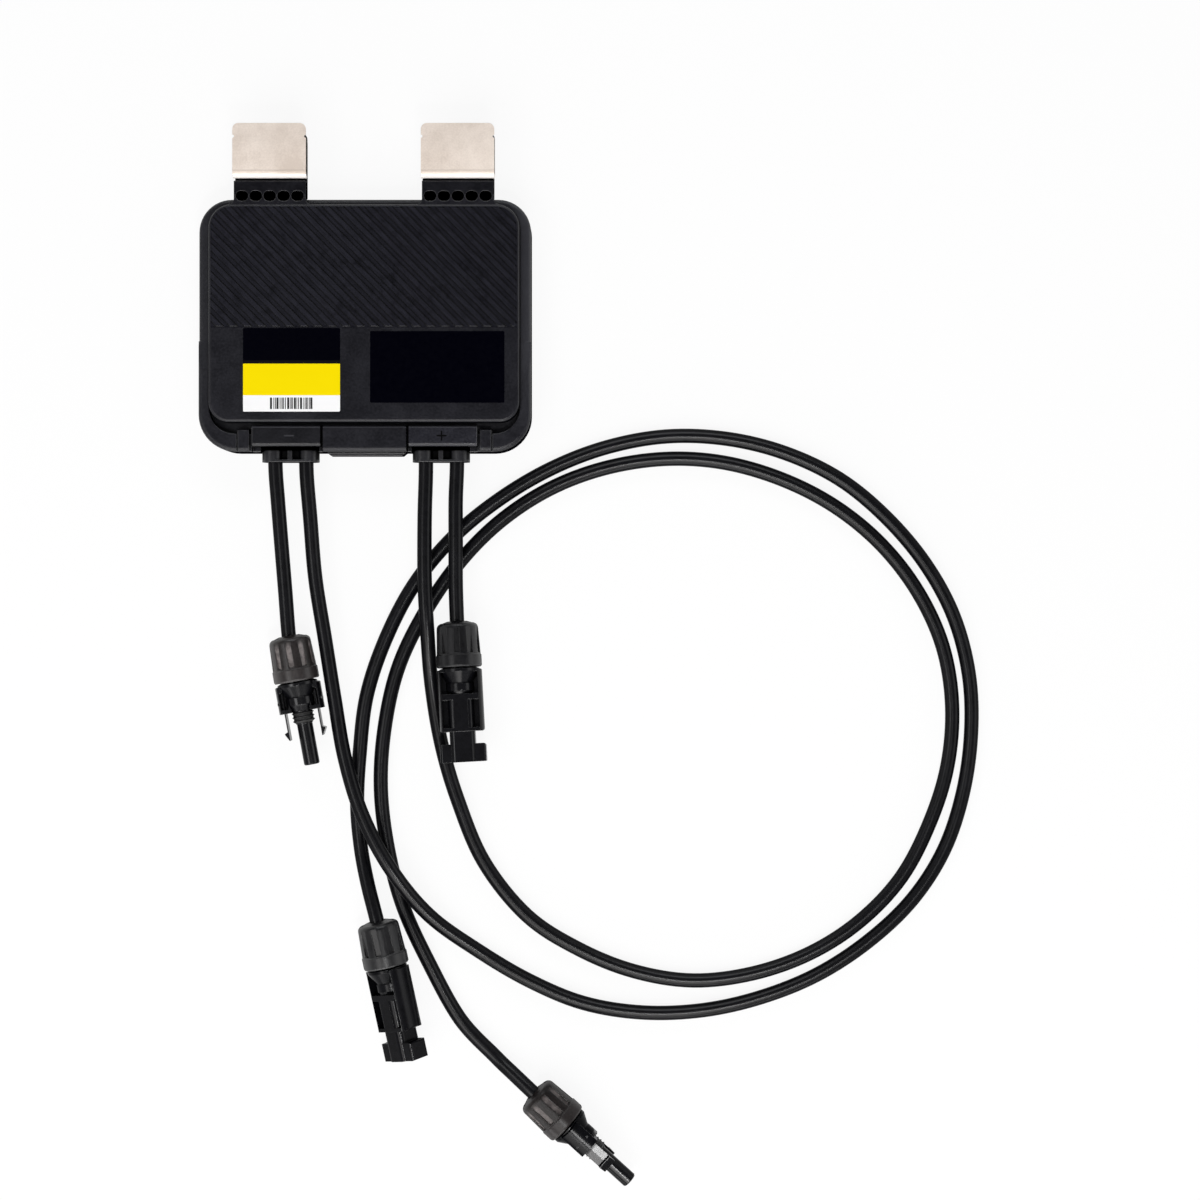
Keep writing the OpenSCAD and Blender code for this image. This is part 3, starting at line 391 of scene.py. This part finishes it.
def paint_strip_highlight_and_shade(s, reach_mm):
    """Painted highlight on the back edge of the caps and of the bar between them, and painted shade along
    the seams beside the bar.
    """
    in_strip = s.product(s.above("Z", STRIP_LOW_MM), s.below("Y", CAP_BACK_Y_MM + 0.05))
    # Painted highlight on the back edge of the caps and of the bar
    back = s.slope(s.axis("Y"), CAP_BACK_Y_MM - 0.95, CAP_BACK_Y_MM - 0.75, 0.0, BACK_EDGE_HIGHLIGHT_SHARE)
    on_top = s.range(s.facing("Z"), 0.3, 0.6, 0.0, 1.0)
    side = s.math("ABSOLUTE", s.axis("X"))
    within = s.math("LESS_THAN", side, reach_mm * MM)
    s.paint(s.product(back, in_strip, on_top, within), BACK_EDGE_HIGHLIGHT)
    # Painted shade along the seams beside the bar
    off_seam = s.math("ABSOLUTE", s.math("SUBTRACT", side, SEAM_X_MM * MM))
    s.darken(s.product(in_strip, s.slope(off_seam, *SEAM_HALF_MM, SEAM_SHADE_SHARE, 0.0)))


# Lit and shaded copies of one cap plastic: painted light makes the plus cap lighter and the minus cap
# darker, as if lit more from the right
for pole, shade in (("minus", 0.62), ("plus", 1.6)):
    side_lit_cap_plastic = grained_plastic(
        pole + "_side_lit_cap_plastic", grey(0.0048 * shade, 0.5), grey(0.0145 * shade, 0.35),
        edge_mm=0.85, sheen=1.3, **BOX_PLASTIC)
    paint_strip_highlight_and_shade(side_lit_cap_plastic, CAP_REACH_MM)
    dress([pole + "_cable_cap"], side_lit_cap_plastic)

# Housing: painted light on its rim, paler towards the clips and most on the right
RIM_Y_MM = (-60.0, -15.0)
RIM_X_MM = (30.0, 60.0)
RIM_LIGHT_SHARE = 0.5
housing = grained_plastic(
    "housing_plastic", HOUSING_DARK, HOUSING_LIGHT, edge_mm=0.85, sheen=1.1, **BOX_PLASTIC)
rim_light = housing.product(
    housing.slope(housing.axis("Y"), *RIM_Y_MM, 0.0, RIM_LIGHT_SHARE),
    housing.range(housing.facing("Z"), 0.3, 0.8, 0.0, 1.0),
)
rim_right_light = housing.slope(housing.axis("X"), *RIM_X_MM, 0.0, 1.0)
housing.paint(rim_light, housing.mix(rim_right_light, grey(0.027, 0.15), grey(0.058, 0.15)))
paint_strip_highlight_and_shade(housing, SEAM_X_MM)
dress(["rear_housing"], housing)

# Cover: the same plastic, with painted shade in fine lines along its slanting ridges
RIDGE_PITCH_MM = 5.85
RIDGE_ORIGIN_Y_MM = 35.8
RIDGE_SHADING = [
    (0.0, grey(0.12)), (0.03, grey(0.2)), (0.075, grey(1.0)), (0.485, grey(1.0)), (0.53, grey(0.0)),
    (0.59, grey(0.0)), (0.635, grey(0.82)), (0.925, grey(0.82)), (0.97, grey(0.2)), (1.0, grey(0.12)),
]
FIELD_DARK, FIELD_LIGHT = grey(0.0002, 0.5), grey(0.0182, 0.4)
FIELD_LOW_Y_MM = -14.0
FIELD_X_MM = (-20.0, 60.0)
FIELD_RIGHT_FALLOFF = 0.84
FIELD_END_MM = 0.7
FIELD_END_GLOSS, FIELD_GLOSS = 0.27, 0.45
FACE_MM = 20.6
STREAK_MM = 5.0
STREAK_STRETCH = 3.0
SMUDGE_MM = 4.5
cover = grained_plastic(
    "cover_plastic", HOUSING_DARK, HOUSING_LIGHT, edge_mm=0.65, sheen=0.9, **BOX_PLASTIC)
cover_x, cover_y = cover.axis("X"), cover.axis("Y")
near_face = cover.above("Z", FACE_MM - 0.02)
across = cover.math("ADD", cover_x, cover.math("SUBTRACT", cover_y, RIDGE_ORIGIN_Y_MM * MM))
phase = cover.math("FLOORED_MODULO", cover.math("DIVIDE", across, RIDGE_PITCH_MM * MM), 1.0)
# Painted shade along the ridge edges, with ridge tops and floors in slightly different tones
ridge_shading = cover.ramp(phase, RIDGE_SHADING, "LINEAR")
stretched = cover.node("ShaderNodeCombineXYZ", X=cover.product(across, STREAK_STRETCH), Y=cover_x)
streak = cover.noise(STREAK_MM, 4.0, 0.7, stretched.outputs[0])
# Field tone: random streaks and smudges, times a painted falloff of light towards the right
field_tone = cover.product(
    cover.spread(streak, 0.5, 1.1),
    cover.range(cover.noise(SMUDGE_MM, 3.0, 0.6), 0.3, 0.46, 0.6, 1.0),
    cover.slope(cover_x, *FIELD_X_MM, 1.0, FIELD_RIGHT_FALLOFF),
)
in_field = cover.product(cover.above("Y", FIELD_LOW_Y_MM), near_face)
cover.paint(in_field, cover.mix(cover.product(ridge_shading, field_tone), FIELD_DARK, FIELD_LIGHT))
with_ends = cover.product(cover.above("Y", FIELD_LOW_Y_MM - 0.6), near_face)
inner_y_mm = FIELD_LOW_Y_MM + FIELD_END_MM
end_gloss = cover.slope(cover_y, inner_y_mm - 0.05, inner_y_mm, FIELD_END_GLOSS, FIELD_GLOSS)
cover.dim(cover.range(with_ends, 0.0, 1.0, 1.0, end_gloss))
faces = cover.node("ShaderNodeMix", {"data_type": "VECTOR"})
cover.put(faces.inputs[0], cover.product(cover.above("Y", inner_y_mm), near_face))
cover.put(faces.inputs[4], cover.fed("Normal"))
cover.put(faces.inputs[5], cover.bump(cover.noise(0.9, 2.0, 0.7), 0.02))
cover.set(Normal=faces.outputs[1])

# Painted shade on the cover's clip shelves, and in the pockets beside the clips' roots
SHELF_LOW_Y_MM = 40.5
SHELF_SHADE = 0.35
CLIP_X_MM = 39.0
POCKET_HALF_MM = 14.5
POCKET_Y_MM = (37.9, 42.3)
POCKET_TOP_MM = 20.2
cover.darken(cover.slope(cover_y, SHELF_LOW_Y_MM, SHELF_LOW_Y_MM + 0.5, 0.0, SHELF_SHADE))
off_clip = cover.math("SUBTRACT", cover.math("ABSOLUTE", cover_x), CLIP_X_MM * MM)
# Painted shade inside the pockets
cover.darken(cover.product(
    cover.math("LESS_THAN", cover.math("ABSOLUTE", off_clip), POCKET_HALF_MM * MM),
    cover.above("Y", POCKET_Y_MM[0]),
    cover.below("Y", POCKET_Y_MM[1]),
    cover.below("Z", POCKET_TOP_MM),
))
dress(["front_cover"], cover)

# Spring steel of the clips, warm and slightly stained
STEEL_DARK, STEEL_LIGHT = (0.8, 0.685, 0.59, 1), (1.0, 0.885, 0.785, 1)
STAIN_MM, STAIN_SHARE = 14.0, 0.65
STEEL_GRAIN_MM, STEEL_GRAIN_SHARE = 0.8, 0.35
steel = Shader("spring_steel")
stain = steel.noise(STAIN_MM, 5.0, 0.6)
steel_grain = steel.noise(STEEL_GRAIN_MM, 3.0, 0.8)
steel_tone = steel.math(
    "ADD", steel.product(stain, STAIN_SHARE), steel.product(steel_grain, STEEL_GRAIN_SHARE))
steel.set(
    Base_Color=steel.mix(steel.spread(steel_tone, 0.0, 1.0, TONE_SPAN), STEEL_DARK, STEEL_LIGHT),
    Roughness=steel.spread(steel_grain, 0.4, 0.56),
    Normal=steel.bump(steel_grain, 0.012, steel.bevel(0.15)),
    Metallic=0.22,
)

# Painted shade greys the clips' flared tips; painted shade as a dull band and a painted white highlight
# at their bends; painted shadow on their legs' right edges
TIP_Y_MM, TIP_SHADE_SHARE = (55.0, 67.0), 0.1
BEND_SHADE_START_MM, BEND_SHADE_END_MM, BEND_SHADE_SHARE = (48.9, 49.1), (50.2, 50.9), 0.38
BEND_HIGHLIGHT_Y_MM, BEND_HIGHLIGHT_SHARE = (48.7, 48.9), 0.8
LEG_TOP_MM = (17.9, 18.2)
LEG_EDGE_MM = (13.4, 13.9)
LEG_FACING, LEG_SHADE_SHARE = (0.3, 0.7), 0.97
steel_x, steel_y = steel.axis("X"), steel.axis("Y")
# Painted shade on the flared tips
steel.paint(steel.slope(steel_y, *TIP_Y_MM, 0.0, TIP_SHADE_SHARE), grey(0.45))
# Painted shade as a dull band just above the bend
bend_shade = steel.product(
    steel.slope(steel_y, *BEND_SHADE_START_MM, 0.0, 1.0),
    steel.slope(steel_y, *BEND_SHADE_END_MM, 1.0, 0.0),
    BEND_SHADE_SHARE,
)
steel.paint(bend_shade, (0.4, 0.33, 0.27, 1))
# Painted highlight: a white line at the bend
steel.paint(steel.slope(steel_y, *BEND_HIGHLIGHT_Y_MM, BEND_HIGHLIGHT_SHARE, 0.0), (1.0, 0.97, 0.94, 1))
# Painted shadow on the lower leg's right edge and its right-facing sides
clip_middle = steel.product(steel.math("SIGN", steel_x), CLIP_X_MM * MM)
leg_edge = steel.slope(steel.math("SUBTRACT", steel_x, clip_middle), *LEG_EDGE_MM, 0.0, 1.0)
edge_top = steel.product(leg_edge, steel.range(steel.facing("Z"), *LEG_FACING, 0.0, LEG_SHADE_SHARE))
edge_side = steel.range(steel.facing("X"), *LEG_FACING, 0.0, LEG_SHADE_SHARE)
low_leg = steel.slope(steel.axis("Z"), *LEG_TOP_MM, 1.0, 0.0)
steel.paint(steel.product(low_leg, steel.math("MAXIMUM", edge_side, edge_top)), grey(0.01))
dress(["left_spring_clip", "right_spring_clip"], steel)

# Rating label: black, gap, yellow and white fields from its upper edge down
LABEL_LOW_MM, LABEL_HIGH_MM = -49.4, -14.8
YELLOW_LOW_MM, GAP_LOW_MM, BLACK_LOW_MM = -42.7, -29.66, -28.2
BLACK_INK = (0.0003, 0.0003, 0.0022, 1)
YELLOW_INK = (0.955, 0.745, 0.001, 1)
WHITE_PAPER = (0.96, 0.96, 0.96, 1)
LABEL_GLOSS = 0.03
LABEL_WEAR_MM = 0.004


def label_stop(y_mm):
    """Place on the label as a share of its height."""
    return (y_mm - LABEL_LOW_MM) / (LABEL_HIGH_MM - LABEL_LOW_MM)


rating = Shader("rating_label_print")
rating_wear = rating.noise(1.5)
rating.set(
    Base_Color=rating.ramp(rating.slope(rating.axis("Y"), LABEL_LOW_MM, LABEL_HIGH_MM, 0.0, 1.0), [
        (0.0, WHITE_PAPER), (label_stop(YELLOW_LOW_MM), YELLOW_INK),
        (label_stop(GAP_LOW_MM), grey(0.0055, 0.25)), (label_stop(BLACK_LOW_MM), BLACK_INK),
    ], "CONSTANT"),
    Roughness=rating.spread(rating_wear, 0.34, 0.44),
    Normal=rating.bump(rating_wear, LABEL_WEAR_MM),
    Specular_IOR_Level=LABEL_GLOSS,
)
dress(["rating_label"], rating)
info = plain_finish(
    "info_label_print", 2.0, 4.0, BLACK_INK, (0.0009, 0.0009, 0.003, 1), (0.24, 0.36),
    wear_mm=LABEL_WEAR_MM, Specular_IOR_Level=LABEL_GLOSS)
dress(["info_label"], info)

# Rubber of the grommets, with painted shadow under the caps and painted shade on the web between the
# cables
CAP_SHADOW_Y_MM = (-65.5, -64.9)
WEB_TOP_MM, WEB_SHADE = (12.6, 13.4), 0.85
WEB_FRONT_Y_MM = -68.9
rubber = grained_plastic(
    "grommet_rubber", grey(0.005, 0.3), grey(0.011, 0.3), rough=0.36, grain_mm=0.8, grain_depth=0.01,
    edge_mm=0.5, specular=0.6, sheen=0.5, groove_mm=3.0, groove=0.95)
# Painted shadow under the caps' front
rubber.darken(rubber.slope(rubber.axis("Y"), *CAP_SHADOW_Y_MM, 0.0, 1.0))
# Painted shade on the web between the cables
web_shade_mask = rubber.slope(rubber.axis("Z"), *WEB_TOP_MM, WEB_SHADE, 0.0)
rubber.darken(rubber.product(web_shade_mask, rubber.above("Y", WEB_FRONT_Y_MM)))
dress(["left_grommet", "right_grommet"], rubber)
seal = grained_plastic(
    "seal_rubber", grey(0.008), grey(0.016), rough=0.5, grain_mm=0.4, grain_depth=0.015, edge_mm=0.15,
    specular=0.4)
dress([n for n in NODES if n.endswith(("_seal", "_ring"))], seal)

# Sheath of the cables
sheath = grained_plastic(
    "cable_sheath", grey(0.0022, 0.3), grey(0.0048, 0.3), rough=0.28, grain_mm=2.5, grain_depth=0.0006,
    edge_mm=0.0, specular=0.28, groove=0.0, fade=(0.1, 0.36, 0.1), uneven=0.005)
dress(CABLES.values(), sheath)
dress([n for n in NODES if n.endswith("_lead")], sheath)

# Connector nuts: two are dusty and two are black, one of these with a painted sheen on its band
FLUTE_START_MM, FLUTE_END_MM = 2.6, 13.6
SHOULDER_R_MM, LAND_R_MM = 8.7, 9.2
FLUTE_DEPTH_MM = (0.15, 0.3)
BAND_SHEEN_SHARE = 0.18


def connector_place(s, lead):
    """Place from the start of a connector's axis, and the axis's direction."""
    start, end = (Vector(point) * MM for point in ROUTES[lead][-2:])
    return s.vector("SUBTRACT", s.place, start)[0], (end - start).normalized()


def along_axis(s, lead):
    """Distance along a connector's axis."""
    return s.vector("DOT_PRODUCT", *connector_place(s, lead))["Value"]


def off_axis(s, lead):
    """Distance from a connector's axis."""
    return s.vector("LENGTH", s.vector("CROSS_PRODUCT", *connector_place(s, lead))[0])["Value"]


def paint_band_sheen(s, along, colour):
    """Paints the smooth band behind a nut's flutes paler, a painted sheen."""
    s.paint(s.slope(along, FLUTE_END_MM, FLUTE_END_MM + 0.3, 0.0, BAND_SHEEN_SHARE), colour)


def black_nut(lead, with_band_sheen):
    """Nut plastic without dust; one of them gets a painted sheen on its band."""
    s = grained_plastic(
        lead + "_nut_plastic", grey(0.0032, 0.2), grey(0.0085, 0.15), rough=0.32, grain_mm=0.8,
        grain_depth=0.012, specular=0.42, sheen=0.5, groove_mm=1.3, groove=0.95)
    if with_band_sheen:
        paint_band_sheen(s, along_axis(s, lead), grey(0.06))
    return s


def dusty_nut(lead, shade, specular):
    """Nut plastic with brown dust on it, a painted sheen on its band, and pale dust on the floors of its
    flutes that is partly a painted highlight.
    """
    dark = (0.0068 * shade, 0.0053 * shade, 0.005 * shade, 1)
    light = (0.022 * shade, 0.0174 * shade, 0.0165 * shade, 1)
    pale = (0.19 * shade, 0.167 * shade, 0.162 * shade, 1)
    s = grained_plastic(
        lead + "_nut_plastic", dark, light, rough=0.34, grain_mm=0.9, grain_depth=0.012,
        specular=specular, sheen=0.6, groove_mm=0.7, groove=0.97)
    along = along_axis(s, lead)
    paint_band_sheen(s, along, (0.075, 0.066, 0.066, 1))
    surface = s.slope(along, FLUTE_START_MM, FLUTE_END_MM, SHOULDER_R_MM * MM, LAND_R_MM * MM)
    depth = s.math("SUBTRACT", surface, off_axis(s, lead))
    # Pale dust on the flute floors, partly a painted highlight where those floors catch light
    dust_and_sheen = s.product(
        s.slope(depth, *FLUTE_DEPTH_MM, 0.0, 1.0),
        s.math("GREATER_THAN", along, FLUTE_START_MM * MM),
        s.math("LESS_THAN", along, FLUTE_END_MM * MM),
        s.range(s.noise(3.0, 3.0, 0.6), 0.35, 0.6, 0.35, 1.0),
        s.range(s.crevice(0.7), 0.4, 0.85, 0.0, 1.0),
    )
    s.paint(dust_and_sheen, pale)
    return s


dress(["input_minus_nut"], dusty_nut("input_minus", 1.0, 0.5))
dress(["output_plus_nut"], dusty_nut("output_plus", 0.7, 0.24))
dress(["output_minus_nut"], black_nut("output_minus", True))
dress(["input_plus_nut"], black_nut("input_plus", False))

# Connector bodies, from the glossiest to the dullest; output plus has a duller barrel than tube
BARREL_END_MM = 32.9
BARREL_GLOSS, TUBE_GLOSS = 0.4, 1.05
BODY_GLOSS = {"input_minus": 0.52, "input_plus": 0.42, "output_plus": 0.4, "output_minus": 0.27}
for lead, specular in BODY_GLOSS.items():
    glossy = grained_plastic(
        lead + "_body_plastic", grey(0.0022, 0.3), grey(0.0046, 0.3), rough=0.22, grain_mm=2.5,
        grain_depth=0.0005, edge_mm=0.2, specular=specular, groove_mm=1.5, groove=0.8,
        fade=(0.06, 0.26, 0.2), uneven=0.006)
    if lead == "output_plus":
        glossy.dim(glossy.slope(
            along_axis(glossy, lead), BARREL_END_MM, BARREL_END_MM + 0.4, BARREL_GLOSS, TUBE_GLOSS))
    dress([lead + "_body"], glossy)

# Tinned metal and the electronics inside the box
tin = plain_finish(
    "tinned_copper", 0.25, 3.0, (0.6, 0.59, 0.57, 1), (0.78, 0.77, 0.75, 1), (0.22, 0.36),
    noise_rough=0.7, Metallic=1.0)
dress([n for n in NODES if n.endswith(("_contact", "_lugs"))], tin)
for node, dark, light, rough in (
    ("circuit_board", (0.006, 0.06, 0.02, 1), (0.01, 0.1, 0.035, 1), 0.35),
    ("power_inductor", grey(0.02), grey(0.045), 0.6),
    ("filter_capacitors", (0.12, 0.15, 0.2, 1), (0.2, 0.23, 0.29, 1), 0.3),
    ("power_transistors", grey(0.008), grey(0.016), 0.5),
    ("control_chip", grey(0.008), grey(0.016), 0.45),
    ("heat_spreader", grey(0.5), grey(0.62), 0.35),
    ("thermal_pad", grey(0.25, 0.1), grey(0.34, 0.1), 0.7),
):
    dress([node], grained_plastic(node + "_finish", dark, light, rough))


def flat_piece(name, outlines, z_mm, thickness_mm, shader):
    """Thin raised print: each outline in millimetres becomes a closed plate on the surface at z."""
    mesh = bmesh.new()
    for outline in outlines:
        low = [mesh.verts.new((x * MM, y * MM, z_mm * MM)) for x, y in outline]
        high = [mesh.verts.new((x * MM, y * MM, (z_mm + thickness_mm) * MM)) for x, y in outline]
        mesh.faces.new(high)
        mesh.faces.new(low[::-1])
        for i in range(len(outline)):
            j = (i + 1) % len(outline)
            mesh.faces.new((low[i], low[j], high[j], high[i]))
    data = bpy.data.meshes.new(name)
    mesh.to_mesh(data)
    mesh.free()
    piece = bpy.data.objects.new(name, data)
    scene.collection.objects.link(piece)
    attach(piece, "root")
    dress([piece], shader)


def rectangle(x0, x1, y0, y1):
    return [(x0, y0), (x1, y0), (x1, y1), (x0, y1)]


def rounded_bar(cx, cy, length, width, turned):
    """Bar with round ends, along X or turned along Y."""
    r, half, ends = width / 2, (length - width) / 2, 8
    out = []
    for side, start in ((1, -90), (-1, 90)):
        for k in range(ends + 1):
            a = math.radians(start + 180 * k / ends)
            out.append((side * half + r * math.cos(a), r * math.sin(a)))
    if turned:
        out = [(-y, x) for x, y in out]
    return [(cx + x, cy + y) for x, y in out]


# Generic bars in the label's white field, with widths from a fixed repeating rule
LABEL_TOP_MM, BAR_HEIGHT_MM = 20.75, 0.02
BAR_X0, BAR_X1, BAR_Y0, BAR_Y1 = -38.85, -20.9, -48.35, -43.6
BAR_WIDTHS = (0.9, 0.3, 0.42, 0.9, 0.3, 0.3, 0.62, 0.42, 0.9, 0.3, 0.62)
GAP_WIDTHS = (0.55, 0.3, 0.22, 0.42, 0.22, 0.3, 0.42)
PRINT_SPOT_MM = 0.4
ink = plain_finish("label_ink", PRINT_SPOT_MM, 2.0, grey(0.008), grey(0.02), (0.45, 0.6))
bars, bar_x = [], BAR_X0
for width, gap in zip(itertools.cycle(BAR_WIDTHS), itertools.cycle(GAP_WIDTHS)):
    if bar_x + width > BAR_X1:
        break
    bars.append(rectangle(bar_x, bar_x + width, BAR_Y0, BAR_Y1))
    bar_x += width + gap
flat_piece("rating_label_bars", bars, LABEL_TOP_MM, BAR_HEIGHT_MM, ink)

# Polarity signs on the cable caps; the minus is painted paler, a painted highlight
CAP_TOP_MM = 18.0
MINUS_X_MM, PLUS_X_MM, SIGN_Y_MM = -31.4, 32.1, -59.2
SIGN_L_MM, SIGN_W_MM = 4.2, 0.6
SIGN_HEIGHT_MM, UPRIGHT_HEIGHT_MM = 0.03, 0.034
sign = plain_finish(
    "sign_ink", PRINT_SPOT_MM, 2.0, grey(0.0008), grey(0.0014), (0.5, 0.7), Specular_IOR_Level=0.05)
# Painted highlight: a paler plastic for the minus sign
painted_highlight_sign = plain_finish(
    "lit_sign_plastic", PRINT_SPOT_MM, 2.0, grey(0.014, 0.3), grey(0.028, 0.3), (0.4, 0.6))
for name, x_mm, turned, height_mm, finish in (
    ("minus_sign", MINUS_X_MM, False, SIGN_HEIGHT_MM, painted_highlight_sign),
    ("plus_sign", PLUS_X_MM, False, SIGN_HEIGHT_MM, sign),
    ("plus_sign_upright", PLUS_X_MM, True, UPRIGHT_HEIGHT_MM, sign),
):
    bar = rounded_bar(x_mm, SIGN_Y_MM, SIGN_L_MM, SIGN_W_MM, turned)
    flat_piece(name, [bar], CAP_TOP_MM, height_mm, finish)

# Floor: white to the eye and in reflections, a plain pale surface for soft light
FLOOR_PLACE = (0.1, -0.13, -0.0002)
HALF_FLOOR_M = 3.0
GLOW_REACH_M = (0.5, 1.6)
GLOW_NEAR, GLOW_FAR = 0.9, 1.0
floor_data = bpy.data.meshes.new("floor")
floor_corners = rectangle(-HALF_FLOOR_M, HALF_FLOOR_M, -HALF_FLOOR_M, HALF_FLOOR_M)
floor_data.from_pydata([(x, y, 0) for x, y in floor_corners], [], [(0, 1, 2, 3)])
floor = bpy.data.objects.new("floor", floor_data)
floor.location = FLOOR_PLACE
scene.collection.objects.link(floor)
pale_floor = bpy.data.materials.new("pale_floor")
pale_floor.use_nodes = True
ground = Nodes(pale_floor.node_tree)
ground.tree.nodes.clear()
away = ground.vector("LENGTH", ground.node("ShaderNodeTexCoord").outputs["Object"])["Value"]
glow_share = ground.range(away, *GLOW_REACH_M, GLOW_NEAR, GLOW_FAR)
matte = ground.node("ShaderNodeBsdfDiffuse", Color=grey(0.97)).outputs[0]
glow = ground.node("ShaderNodeEmission", Color=WHITE, Strength=1.0).outputs[0]
ground_look = ground.blend(ground.product(ground.background_seen(), glow_share), matte, glow)
ground.node("ShaderNodeOutputMaterial", Surface=ground_look)
floor_data.materials.append(pale_floor)

# Room: bright near the horizon and darker overhead, so that rounded edges catch light
ROOM_COLOURS = [
    (0.0, (0.62, 0.615, 0.61, 1)), (0.5, (0.17, 0.17, 0.175, 1)), (1.0, (0.06, 0.06, 0.068, 1)),
]
FRONT_STRENGTH = 1.4
BACKDROP_HEIGHT = (0.12, 0.34)
world = bpy.data.worlds.new("studio")
scene.world = world
world.use_nodes = True
sky = Nodes(world.node_tree)
sky.tree.nodes.clear()
direction = sky.parts(sky.node("ShaderNodeTexCoord").outputs["Generated"])
room = sky.node(
    "ShaderNodeBackground", Color=sky.ramp(direction["Z"], ROOM_COLOURS, "LINEAR"),
    Strength=sky.range(direction["Y"], 0.0, -1.0, 1.0, FRONT_STRENGTH)).outputs[0]
backdrop = sky.node("ShaderNodeBackground", Color=WHITE).outputs[0]
low_sky = sky.range(direction["Z"], *BACKDROP_HEIGHT, 1.0, 0.0)
sky_look = sky.blend(sky.product(sky.background_seen(), low_sky), room, backdrop)
sky.node("ShaderNodeOutputWorld", Surface=sky_look)


def soft_light(name, place, aim, size, power, colour=(1, 1, 1)):
    """Rectangular softbox that faces a point."""
    data = bpy.data.lights.new(name, "AREA")
    data.shape = "RECTANGLE"
    data.size, data.size_y = size
    data.energy = power
    data.color = colour
    lamp = bpy.data.objects.new(name, data)
    lamp.location = place
    lamp.rotation_euler = (Vector(aim) - Vector(place)).to_track_quat("-Z", "Y").to_euler()
    scene.collection.objects.link(lamp)


# Lamps: place, point they face, size and power
CENTRE = (0.08, -0.15, 0.0)
OUTPUT_PLUS_END = (0.0966, -0.358, 0.017)
INPUT_MINUS_END = (-0.027, -0.19, 0.012)
WARM, COOL = (1.0, 0.98, 0.96), (0.95, 0.97, 1.0)
soft_light("key_softbox", (-0.15, -0.9, 0.9), CENTRE, (1.1, 0.7), 7.9, WARM)
soft_light("front_strip", (0.05, -1.35, 0.22), CENTRE, (1.6, 0.26), 6.5)
soft_light("front_panel", (0.18, -0.492, 1.0), OUTPUT_PLUS_END, (0.12, 0.1), 2.2)
soft_light("front_fill", (0.008, -0.691, 1.0), OUTPUT_PLUS_END, (0.1, 0.1), 0.45)
soft_light("left_softbox", (-0.62, -0.2, 0.95), CENTRE, (0.7, 0.5), 0.8)
soft_light("left_panel", (-0.56, -0.26, 0.95), INPUT_MINUS_END, (0.22, 0.3), 0.7)
soft_light("right_softbox", (1.1, -0.1, 0.5), CENTRE, (0.7, 0.5), 1.2)
soft_light("back_softbox", (0.1, 0.85, 0.8), CENTRE, (1.0, 0.4), 4.0, COOL)
